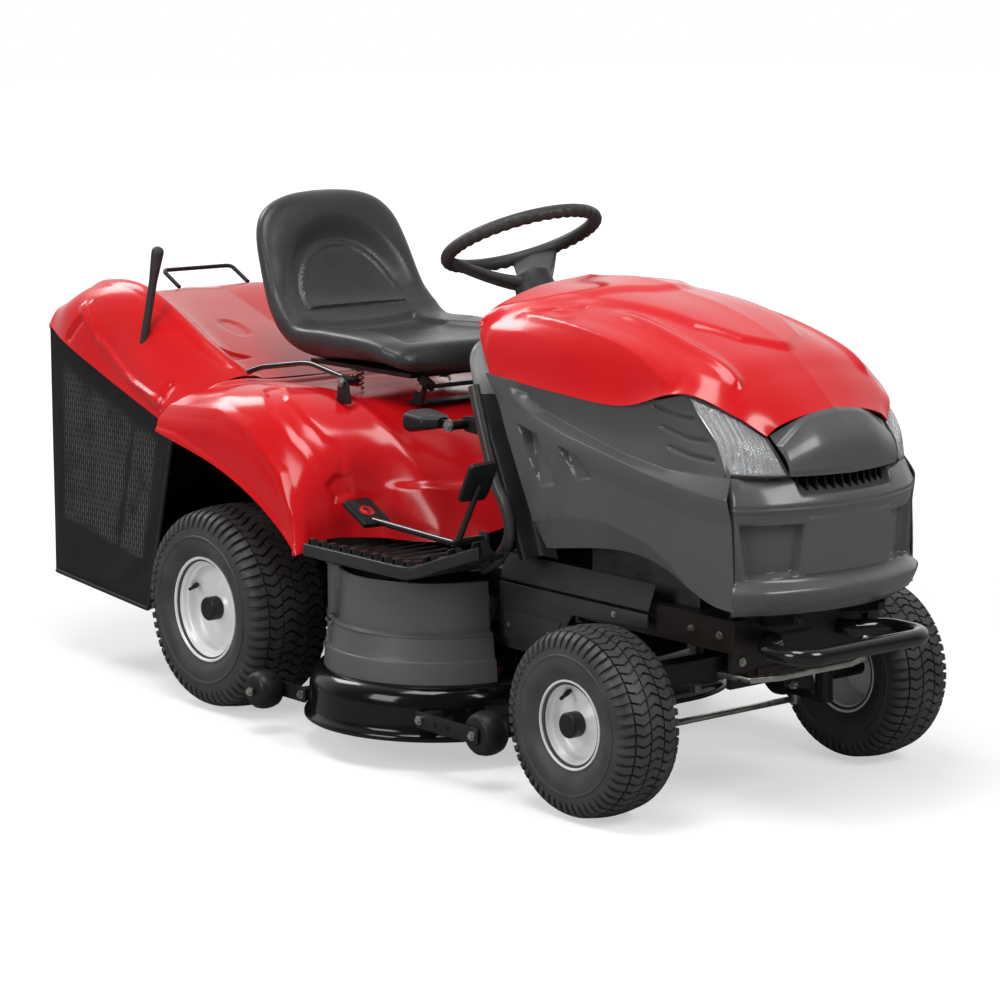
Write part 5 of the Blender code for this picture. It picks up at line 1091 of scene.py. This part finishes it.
SPINE = ((0.40, 0, 0.792), (0.30, 0, 0.802), (0.14, 0, 0.798), (0.0, 0, 0.795), (-0.085, 0, 0.86), (-0.13, 0, 0.98),
         (-0.172, 0, 1.122))
LENGTHS = 240
ROUND = 208
path = curve(SPINE, LENGTHS)
runs = np.gradient(path, axis=0)
runs /= np.linalg.norm(runs, axis=1, keepdims=True)
ups = np.stack((runs[:, 2], 0 * runs[:, 0], -runs[:, 0]), -1)
t = np.linspace(0, 1, LENGTHS + 1)[:, None]
top = np.maximum(0, (t - 0.6) / 0.4)
nose = np.sqrt(1 - np.clip(1 - t / 0.05, 0, 0.985) ** 2)
SEAT_HALF = 0.225
half = SEAT_HALF * (1 - 0.12 * top) * (1 - 0.985 * top**9) ** 0.42 * np.minimum(1.0, 0.9 + t) * (0.86 + 0.14 * nose)
thick = 0.034 * nose * np.sqrt(1 - np.clip((t - 0.95) / 0.05, 0, 0.985) ** 2)
bolster = 0.037 * np.sin(math.pi * np.minimum(1.0, 1.05 * t)) ** 0.7 * (1 + 0.5 * bead(t - 0.66, 0.2))
turn = np.linspace(0, 2 * math.pi, ROUND, endpoint=False)[None, :]
c, q = np.cos(turn), np.sin(turn)
wide = half * squarish(c, 0.6)
lean_in = (0.72 + 0.28 * q * 1.4).clip(0.35, 1)
lift = thick * squarish(q, 0.8) + bolster * (abs(wide) / SEAT_HALF) ** 2.4 * lean_in
seat = path[:, None, :] + ups[:, None, :] * lift[..., None]
seat[..., 1] = wide
upper = q > 0
rise = seat[..., 2] - 0.868
panel = (np.hypot(wide / 0.140, np.maximum(0, rise) / 0.150) - 1) * 0.14
panel = np.where(rise < 0, np.maximum(panel, -rise), panel)
scoop = np.clip(rise / 0.15, 0, 1) ** 0.7
dish = -0.028 * scoop * step(0.055, -0.002, panel)
piping = 0.010 * bead(panel + 0.007, 0.0055) + 0.008 * step(-0.004, -0.022, panel)
sewn = np.where(upper & (t > 0.5), dish + piping, 0)
SEAM = [(-0.06, 0.150), (0.0, 0.150), (0.13, 0.138), (0.27, 0.160), (0.40, 0.19)]
crease = beside(seat[..., 0], abs(seat[..., 1]), SEAM)
sunk = 0.011 * step(-0.002, -0.018, crease) * step(0.06, 0.16, t) * step(0.56, 0.50, t)
sewn -= np.where(upper & (t < 0.56), sunk, 0)
seat = seat + ups[:, None, :] * sewn[..., None]
cushion_piece = place("seat_bucket", loft(seat.tolist()), seat_vinyl(), "seat", ["seat_cushion"],
                      crease=60)


# Seat mounts: a pressed steel pan screwed under the cushion, and a folded hinge bracket on the rear body, both
# painted black. Two brass-coloured coil springs carry the pan.
coat_solid("seat_pan", bracket_paint)
coat_solid("seat_bracket", bracket_paint)
spring_steel = worked("spring_steel", (0.62, 0.43, 0.17), 0.28, metallic=1.0, cloud=40.0, fade=0.6, sway=0.1)
COIL_TURNS = 4
COIL_STEPS = 26
COIL_RADIUS = 0.0135
COIL_HEIGHT = 0.0447
for side_name, side in SIDES:
    coil = []
    for k in range(COIL_TURNS * COIL_STEPS + 1):
        lean = 2 * math.pi * k / COIL_STEPS
        rise = COIL_HEIGHT * k / (COIL_TURNS * COIL_STEPS)
        coil.append((0.13 + COIL_RADIUS * math.cos(lean), side * 0.125 + COIL_RADIUS * math.sin(lean), 0.7048 + rise))
    place(f"seat_coil_{side_name}", tube(coil, 0.0022, 8), spring_steel, "chassis",
          [f"seat_spring_{side_name}"])
    bolts(f"seat_hinge_bolts_{side_name}", [((0.385, side * 0.1515, 0.735), (0, side, 0))], "seat", 0.0055, 0.004)


# Collector cover: a red moulded lid, hinged behind the seat. Two raised rails run down it beside a dish, and
# its flanks carry a long rib and two notches. An apron closes it down to the bag at the rear.
COVER = (
    ((-0.72, -0.395, 0.793), (-0.60, -0.421, 0.757), (-0.40, -0.425, 0.688), (-0.175, -0.431, 0.617)),
    ((-0.705, -0.375, 0.832), (-0.60, -0.395, 0.845), (-0.40, -0.392, 0.80), (-0.165, -0.42, 0.662)),
    ((-0.675, -0.33, 0.853), (-0.57, -0.33, 0.90), (-0.38, -0.325, 0.885), (-0.09, -0.30, 0.722)),
    ((-0.672, -0.235, 0.856), (-0.56, -0.235, 0.878), (-0.36, -0.23, 0.83), (-0.083, -0.225, 0.715)),
    ((-0.67, 0, 0.858), (-0.56, 0, 0.862), (-0.36, 0, 0.80), (-0.082, 0, 0.712)),
)
grid = net(COVER, 160, 125)
x, y, z = grid[..., 0], grid[..., 1], grid[..., 2]
flank = step(-0.365, -0.385, y)
above = beside(x, z, [(-0.574, 0.847), (-0.497, 0.784), (-0.357, 0.710), (-0.197, 0.659)])
below = beside(x, z, [(-0.552, 0.853), (-0.467, 0.777), (-0.314, 0.696), (-0.194, 0.666)])
height = 0.006 * bead(above, 0.007) * flank * step(-0.62, -0.56, x) * step(-0.18, -0.21, x)
height += 0.004 * bead(below, 0.006) * flank * step(-0.60, -0.54, x) * step(-0.19, -0.24, x)
for notch in ([(-0.599, 0.775), (-0.567, 0.814)], [(-0.203, 0.655), (-0.201, 0.697)]):
    height -= 0.006 * bead(beside(x, z, notch), 0.008) * step(-0.375, -0.39, y)
crest = beside(x, y, [(-0.60, -0.325), (-0.406, -0.320), (-0.308, -0.314), (-0.207, -0.306), (-0.132, -0.283),
                      (-0.083, -0.25)])
height += 0.006 * fold(crest, 0.022)
dish = within(x, y, [(-0.655, -0.26), (-0.48, -0.225), (-0.545, -0.15), (-0.55, 0.01), (-0.655, 0.01)])
height -= 0.006 * step(0.0, 0.012, dish)
height -= 0.004 * step(1.0, 0.85, np.hypot((x + 0.32) / 0.045, (y + 0.142) / 0.034))
height -= 0.006 * step(0.0, 0.004, within(x, y, [(-0.205, -0.268), (-0.155, -0.266), (-0.173, -0.192)]))
grid = lifted(grid, height)
apron = [grid[:1] + share * ((-0.712, 0, 0.772) - grid[:1]) * (1, 0, 1) for share in (1.0, 0.75, 0.5, 0.25)]
lid = wall(both_sides(np.concatenate((*apron, grid)), 1), MOULDING)
LID_LUG = [(-0.150, 0.682), (-0.130, 0.682), (-0.115, 0.726), (-0.165, 0.746)]
lug = slab(eased(LID_LUG, 0.004), -0.2223, -0.2153, bevel=0.001)
lid = joined(lid, lug, mirrored(lug))
place("collector_lid", lid, red_gloss, "collector", ["collector_cover"], crease=50)
tray = bent([(-0.605, -0.10, 0.870), (-0.675, -0.10, 0.905), (-0.675, 0.10, 0.905), (-0.605, 0.10, 0.870)], 0.016)
place("collector_grab", tube(tray, 0.005, 14), bracket_paint, "collector", ["collector_handle"])


# Grass bag: one sheet of black woven mesh, sewn to a box and stretched on a tube frame below the cover. Plain
# Plain bands border the open weave, whose slits are painted paler as light showing through, and a fold runs down each
# side.
def tinted(tree, share, colour):
    """Blends a colour over the surface's own, by a share."""
    base = tree.nodes["Principled BSDF"].inputs["Base Color"]
    feeds = [(0, share), (6, base.links[0].from_socket), (7, (*colour, 1))]
    tree.links.new(node(tree, "ShaderNodeMix", feeds, data_type="RGBA").outputs[2], base)


def bag_cloth():
    """Black mesh cloth with upright slits where the weave is open, painted paler as light seen through it."""
    material = worked("bag_cloth", (0.010, 0.010, 0.0099), 0.72, cloud=7.0, fade=0.75, sway=0.06, grain=500.0,
                      depth=0.3)
    tree = material.node_tree
    parts = node(tree, "ShaderNodeSeparateXYZ", [(0, node(tree, "ShaderNodeTexCoord").outputs["Object"])]).outputs
    run = maths(tree, "ADD", parts["X"], parts["Y"])
    weave = node(tree, "ShaderNodeCombineXYZ", [("X", parts["Z"]), ("Y", run)]).outputs[0]
    threads = [("Vector", weave), ("Scale", 1.0), ("Brick Width", 0.030), ("Row Height", 0.0085),
               ("Mortar Size", 0.0030), ("Mortar Smooth", 0.3)]
    slit = node(tree, "ShaderNodeTexBrick", threads)
    see_through_light = node(tree, "ShaderNodeAttribute", attribute_name="see_through_light").outputs["Fac"]
    patch = spread(tree, noise(tree, weave, 14.0, 3.0), 0.26, 0.50)
    gap = maths(tree, "SUBTRACT", 1.0, slit.outputs["Fac"])
    share = maths(tree, "MULTIPLY", maths(tree, "MULTIPLY", gap, see_through_light), patch)
    # The slits are tinted pale: painted light showing through the open weave.
    tinted(tree, share, (0.075, 0.071, 0.067))
    return material


BAG_HALF = 0.404
LOW_REAR, LOW_FRONT, TOP_FRONT, TOP_REAR = (
    np.array((x, BAG_HALF, z)) for x, z in ((-0.70, 0.205), (-0.30, 0.172), (-0.19, 0.598), (-0.70, 0.784)))
RIGHT = (1, -1, 1)


def bag_panel(corners, along, across, slack, fold_depth):
    """A four-cornered panel of the bag pushed out by its slack, and its share of open weave, painted paler as light
    seen through.
    """
    s = np.linspace(0, 1, along + 1)[:, None, None]
    t = np.linspace(0, 1, across + 1)[None, :, None]
    a, b, c, d = corners
    flat = a * (1 - s) * (1 - t) + b * s * (1 - t) + c * s * t + d * (1 - s) * t
    out = np.cross(b - a, d - a)
    out /= np.linalg.norm(out)
    s, t = s[..., 0], t[..., 0]
    pleat = bead(s - 0.72 + 0.10 * (1 - t), 0.02)
    swell = slack * (16 * s * (1 - s) * t * (1 - t)) ** 0.6 - fold_depth * pleat * np.sin(math.pi * t)
    inside = step(0.10, 0.13, s) * step(0.90, 0.88, s) * step(0.24, 0.26, t) * step(0.90, 0.88, t)
    weave = inside * (1 - step(0.2, 0.6, pleat))
    return flat + out * swell[..., None], weave


def edge_at(where, start, end, along, level):
    """The level of a straight edge of the bag at a place along it, both on the axes given by number."""
    return start[level] + (end[level] - start[level]) * (where - start[along]) / (end[along] - start[along])


side_panel = [spot * RIGHT for spot in (LOW_REAR, LOW_FRONT, TOP_FRONT, TOP_REAR)]
rear_panel = [LOW_REAR, LOW_REAR * RIGHT, TOP_REAR * RIGHT, TOP_REAR]
base_panel = [LOW_REAR, LOW_FRONT, LOW_FRONT * RIGHT, LOW_REAR * RIGHT]
PANELS = ((side_panel, 40, 46, 0.006, 0.004, (1, -1)), (rear_panel, 64, 46, 0.008, 0.0, (1,)),
          (base_panel, 40, 64, 0.004, 0.0, (1,)))
bm = bmesh.new()
# Each point keeps its share of open weave, where light through the mesh is painted.
see_through_layer = bm.verts.layers.float.new("see_through_light")
for corners, along, across, slack, fold_depth, flips in PANELS:
    a, b, c, d = corners
    grid, weave = bag_panel(corners, along, across, slack, fold_depth)
    for flip in flips:
        rows = [[bm.verts.new((p[0], p[1] * flip, p[2])) for p in row] for row in grid]
        for row, shares in zip(rows, weave):
            for vert, value in zip(row, shares):
                vert[see_through_layer] = value
        for k in range(along):
            for j in range(across):
                face = [rows[k][j], rows[k + 1][j], rows[k + 1][j + 1], rows[k][j + 1]]
                bm.faces.new(face if flip > 0 else face[::-1])
bmesh.ops.remove_doubles(bm, verts=bm.verts, dist=1e-5)
bag_mesh = bpy.data.meshes.new("bag")
bm.to_mesh(bag_mesh)
bm.free()
SAG_FRAMES = 36
hung = shown("hung", bag_mesh)
frame_held = hung.vertex_groups.new(name="frame_held")
for vert in bag_mesh.vertices:
    x, y, z = vert.co
    rim = z - edge_at(x, TOP_REAR, TOP_FRONT, 0, 2)
    mouth = x - edge_at(z, LOW_FRONT, TOP_FRONT, 2, 0)
    low = z < edge_at(x, LOW_REAR, LOW_FRONT, 0, 2) + 0.004
    seam = low and (abs(y) > BAG_HALF - 0.004 or x < LOW_REAR[0] + 0.004)
    if rim > -0.006 or mouth > -0.006 or seam:
        frame_held.add([vert.index], 1.0, "REPLACE")
cloth = hung.modifiers.new("cloth", "CLOTH")
for setting, value in (("vertex_group_mass", "frame_held"), ("quality", 6), ("mass", 0.12),
                       ("tension_stiffness", 30), ("compression_stiffness", 30), ("shear_stiffness", 12),
                       ("bending_stiffness", 0.8), ("air_damping", 3)):
    setattr(cloth.settings, setting, value)
cloth.collision_settings.use_collision = False
cloth.collision_settings.use_self_collision = False
cloth.point_cache.frame_start = 1
cloth.point_cache.frame_end = SAG_FRAMES
for k in range(1, SAG_FRAMES + 1):
    bpy.context.scene.frame_set(k)
bag_mesh = bpy.data.meshes.new_from_object(hung.evaluated_get(bpy.context.evaluated_depsgraph_get()))
bpy.data.objects.remove(hung)
bpy.context.scene.frame_set(1)
left_seams = [LOW_REAR, LOW_FRONT, TOP_FRONT]
hem_path = bent([spot * RIGHT for spot in reversed(left_seams)] + left_seams, 0.012)
hem = tube(hem_path, 0.0055, 10)
hem_cloth = worked("hem_cloth", (0.016, 0.016, 0.016), 0.55, cloud=12.0, fade=0.7, grain=600.0, depth=0.3)
hem_piece = place("bag_hem", hem, hem_cloth, "collector")
bag_piece = place("bag_cloth", bag_mesh, bag_cloth(), "collector", ["grass_bag"], crease=60)


# Tipping lever: a tapered black grip moulded on a telescopic steel shank.
# It stands in a hole in the cover's right rail and slides along itself.
tip_foot = Vector((-0.362, -0.381, 0.702))
tip_top = Vector((-0.270, -0.381, 1.006))
tip_length = (tip_top - tip_foot).length
heights = [tip_length * k / 60 for k in range(61)]
heights += [tip_length - 0.010, tip_length - 0.006, tip_length - 0.003, tip_length - 0.001]
heights.sort()
radii = [float(np.interp(h, (0, 0.20, 0.235, 0.27, tip_length - 0.012, tip_length - 0.004, tip_length),
                         (0.0095, 0.0095, 0.0095, 0.012, 0.0145, 0.0125, 0.006))) for h in heights]
grip = tube([tip_foot.lerp(tip_top, h / tip_length) for h in heights], radii, 24)
place("tip_grip", grip, wheel_soft, "tip_lever", ["tipping_lever"])


# Pedals: a rocker on the right, with a toe pad and a heel pad moulded on a black rod, and a brake on the left.
# The heel pad carries a red disc with an arrow.
PAD = eased([(-0.044, -0.035), (0.044, -0.035), (0.046, 0.028), (0.037, 0.037), (-0.040, 0.037), (-0.048, 0.028)],
            0.008)
pedal_x, pedal_y, pedal_z = (0.775, 0.372, 0.478)


def pedal_pad(centre, lean):
    """A rubber pad with raised cross ribs, tilted on its arm."""
    plate = slab(PAD, -0.006, 0.005, axis="z", bevel=0.0025)
    outlines = [eased(oblong(-0.037, 0.037, y - 0.0028, y + 0.0028), 0.001) for y in (-0.027, 0.027)]
    ribs = [slab(outline, 0.0045, 0.0065, axis="z", bevel=0.0006) for outline in outlines]
    pad = joined(plate, *ribs)
    pad.transform(Matrix.Translation(centre) @ Matrix.Rotation(math.radians(lean), 4, "Y"))
    return pad


ROD = 0.007
TOE_LEAN = -62
HEEL_LEAN = 27
heel_centre = (0.483, -pedal_y, 0.500)
toe_bar = [(pedal_x + 0.012, -pedal_y, pedal_z), (0.860, -pedal_y, 0.610)]
rocker_rod = tube(bent([(0.490, -pedal_y, 0.488), (pedal_x - 0.02, -pedal_y, pedal_z), *toe_bar], 0.02), ROD, 14)
cross_rod = tube([(pedal_x, -pedal_y - 0.004, pedal_z), (pedal_x, -0.285, pedal_z)], 0.008, 16)
pads = joined(pedal_pad((0.852, -pedal_y, 0.614), TOE_LEAN), pedal_pad(heel_centre, HEEL_LEAN))
place("rocker_pads", pads, black_plastic, "drive_rocker", ["drive_pedal"], crease=35)
place("rocker_rod", joined(rocker_rod, cross_rod), bumper_gloss, "drive_rocker")
brake_rod = tube(bent([(pedal_x, pedal_y, pedal_z), *[(x, -y, z) for x, y, z in toe_bar]], 0.01), ROD, 14)
brake = joined(brake_rod, tube([(pedal_x, pedal_y + 0.004, pedal_z), (pedal_x, 0.285, pedal_z)], 0.008, 16),
               pedal_pad((0.852, pedal_y, 0.614), TOE_LEAN))
place("brake_step", brake, black_plastic, "brake", ["brake_pedal"], crease=35)
heel_place = Matrix.Translation(heel_centre) @ Matrix.Rotation(math.radians(HEEL_LEAN), 4, "Y")
disc = slab(oval(0, 0, 0.0165, 0.0165, 36), 0.0046, 0.0068, axis="z", bevel=0.0004)
disc.transform(heel_place)
place("heel_disc", disc, red_gloss, "drive_rocker")
ARROW = [(-0.012, 0.0), (-0.003, -0.009), (-0.003, -0.0025), (0.011, -0.0025), (0.011, 0.0025), (-0.003, 0.0025),
         (-0.003, 0.009)]
arrow = slab(ARROW, 0.0062, 0.0074, axis="z", bevel=0)
arrow.transform(heel_place)
place("heel_arrow", arrow, cap_plastic, "drive_rocker")


# Levers: the cutting-height lever is a bent black rod on the rear body, and the blade lever a flat moulded
# handle on a plated pivot beside the dash.
LIFT_LINE = [(0.30, -0.27, 0.752), (0.135, -0.262, 0.775), (-0.03, -0.275, 0.749), (-0.062, -0.286, 0.736)]
lift_rod = tube(bent(LIFT_LINE, 0.03), 0.0062, 14)
lift_pin = tube([(0.30, -0.255, 0.752), (0.30, -0.298, 0.752)], 0.010, 24)
place("lift_rod", joined(lift_rod, lift_pin), bumper_gloss, "height_lever", ["deck_lift_lever"])
bolts("lift_pivot_nut", [((0.30, -0.298, 0.752), (0, -1, 0))], "height_lever", 0.007, 0.005)
lever_x, lever_y, lever_z = (0.675, -0.292, 0.70)
ENDS = (-0.126, -0.121, -0.113, -0.033)
sections = []
for dx in np.linspace(-0.126, -0.033, 28):
    half = np.interp(dx, (-0.126, -0.122, -0.113, -0.06, -0.033), (0.030, 0.038, 0.042, 0.038, 0.014))
    high = np.interp(dx, ENDS, (0.006, 0.018, 0.022, 0.013))
    low = np.interp(dx, ENDS, (0.006, 0.020, 0.025, 0.010))
    loop = []
    for turn in full_turn(28):
        q = math.sin(turn)
        across = half * squarish(math.cos(turn), 0.6)
        loop.append((lever_x + dx, lever_y + across, lever_z + (high if q > 0 else low) * squarish(q, 0.6)))
    sections.append(loop)
BLADE_BAR = [(0.62, 0.692), (0.675, 0.690), (0.685, 0.70), (0.675, 0.710), (0.62, 0.708)]
blade_bar = slab(eased(BLADE_BAR, 0.003), lever_y - 0.006, lever_y + 0.006, bevel=0.001)
blade_pin = tube([(lever_x, -0.304, lever_z), (lever_x, -0.25, lever_z)], 0.010, 24)
handle = joined(loft(sections), blade_bar, blade_pin)
place("blade_handle", handle, black_plastic, "clutch_lever", ["blade_lever"])
bolts("blade_pivot_bolt", [((lever_x, -0.304, lever_z), (0, -1, 0))], "clutch_lever", 0.009, 0.006)


# Studio: a pale seamless floor, a white surround and four soft lamps. The camera has a long lens and looks
# slightly down on the machine's right front corner.
def ray_kinds(tree):
    """The rays that the camera sees, straight or through the lenses, and the rays of reflections."""
    rays = node(tree, "ShaderNodeLightPath").outputs
    return maths(tree, "MAXIMUM", rays["Is Camera Ray"], rays["Is Transmission Ray"]), rays["Is Glossy Ray"]


floor_paint = worked("studio_floor", (0.52, 0.52, 0.52), 0.85, cloud=1.2, fade=0.99, sway=0.03)
tree = floor_paint.node_tree
sockets = tree.nodes["Principled BSDF"].inputs
seen, glossy = ray_kinds(tree)
where = node(tree, "ShaderNodeTexCoord").outputs["Object"]
reach = node(tree, "ShaderNodeVectorMath", [(0, where)], operation="LENGTH").outputs["Value"]
glow = maths(tree, "MULTIPLY", seen, spread(tree, reach, 1.6, 6.0, 0.50, 0.95))
tinted(tree, glossy, (0.20, 0.20, 0.20))
sockets["Emission Color"].default_value = (1, 1, 1, 1)
tree.links.new(glow, sockets["Emission Strength"])
floor_mesh = bpy.data.meshes.new("floor")
floor_mesh.from_pydata([(u, v, 0) for u, v in oblong(-30, 30, -30, 30)], [], [(0, 1, 2, 3)])
floor_mesh.materials.append(floor_paint)
floor = shown("studio_floor", floor_mesh)
world = bpy.data.worlds.new("studio")
world.use_nodes = True
tree = world.node_tree
sky = tree.nodes["Background"].inputs
sky["Color"].default_value = (1, 1, 1, 1)
seen, glossy = ray_kinds(tree)
way = node(tree, "ShaderNodeTexCoord").outputs["Generated"]
BACK = (-0.70, 0.58, 0.42)
behind = node(tree, "ShaderNodeVectorMath", [(0, way), (1, BACK)], operation="DOT_PRODUCT").outputs["Value"]
backdrop = spread(tree, behind, 0.1, 0.9, 0.09, 1.0)
level = node(tree, "ShaderNodeMix", [(0, glossy), (2, 0.36), (3, backdrop)]).outputs[0]
level = node(tree, "ShaderNodeMix", [(0, seen), (2, level), (3, 1.0)]).outputs[0]
tree.links.new(level, sky["Strength"])
bpy.context.scene.world = world


def aimed(name, data, spot, aim):
    """A lamp or camera at a spot, turned towards its aim."""
    obj = shown(name, data)
    obj.location = spot
    obj.rotation_euler = (Vector(aim) - Vector(spot)).to_track_quat("-Z", "Y").to_euler()
    return obj


LAMPS = (("top", (0.8, -1.6, 4.8), 2.0, 112, (0.2, 0, 0.3)), ("key", (0.2, -5.2, 2.4), 2.2, 100, (0.1, 0, 0.4)),
         ("fill", (4.4, 0.6, 3.6), 1.8, 110, (0.3, 0, 0.4)), ("back", (-4.2, -0.9, 4.1), 1.8, 95, (0, 0, 0.6)))
for name, spot, size, power, aim in LAMPS:
    lamp = bpy.data.lights.new(name, "AREA")
    lamp.size = size
    lamp.energy = power
    aimed(name, lamp, spot, aim)
lens_data = bpy.data.cameras.new("photo")
lens_data.lens = 115.0
lens_data.sensor_width = 36.0
camera = aimed("photo", lens_data, (5.30663, -4.38162, 1.66732), (0.03498, 0, 0.48522))
bpy.context.scene.camera = camera
bpy.context.scene.view_settings.view_transform = "Standard"
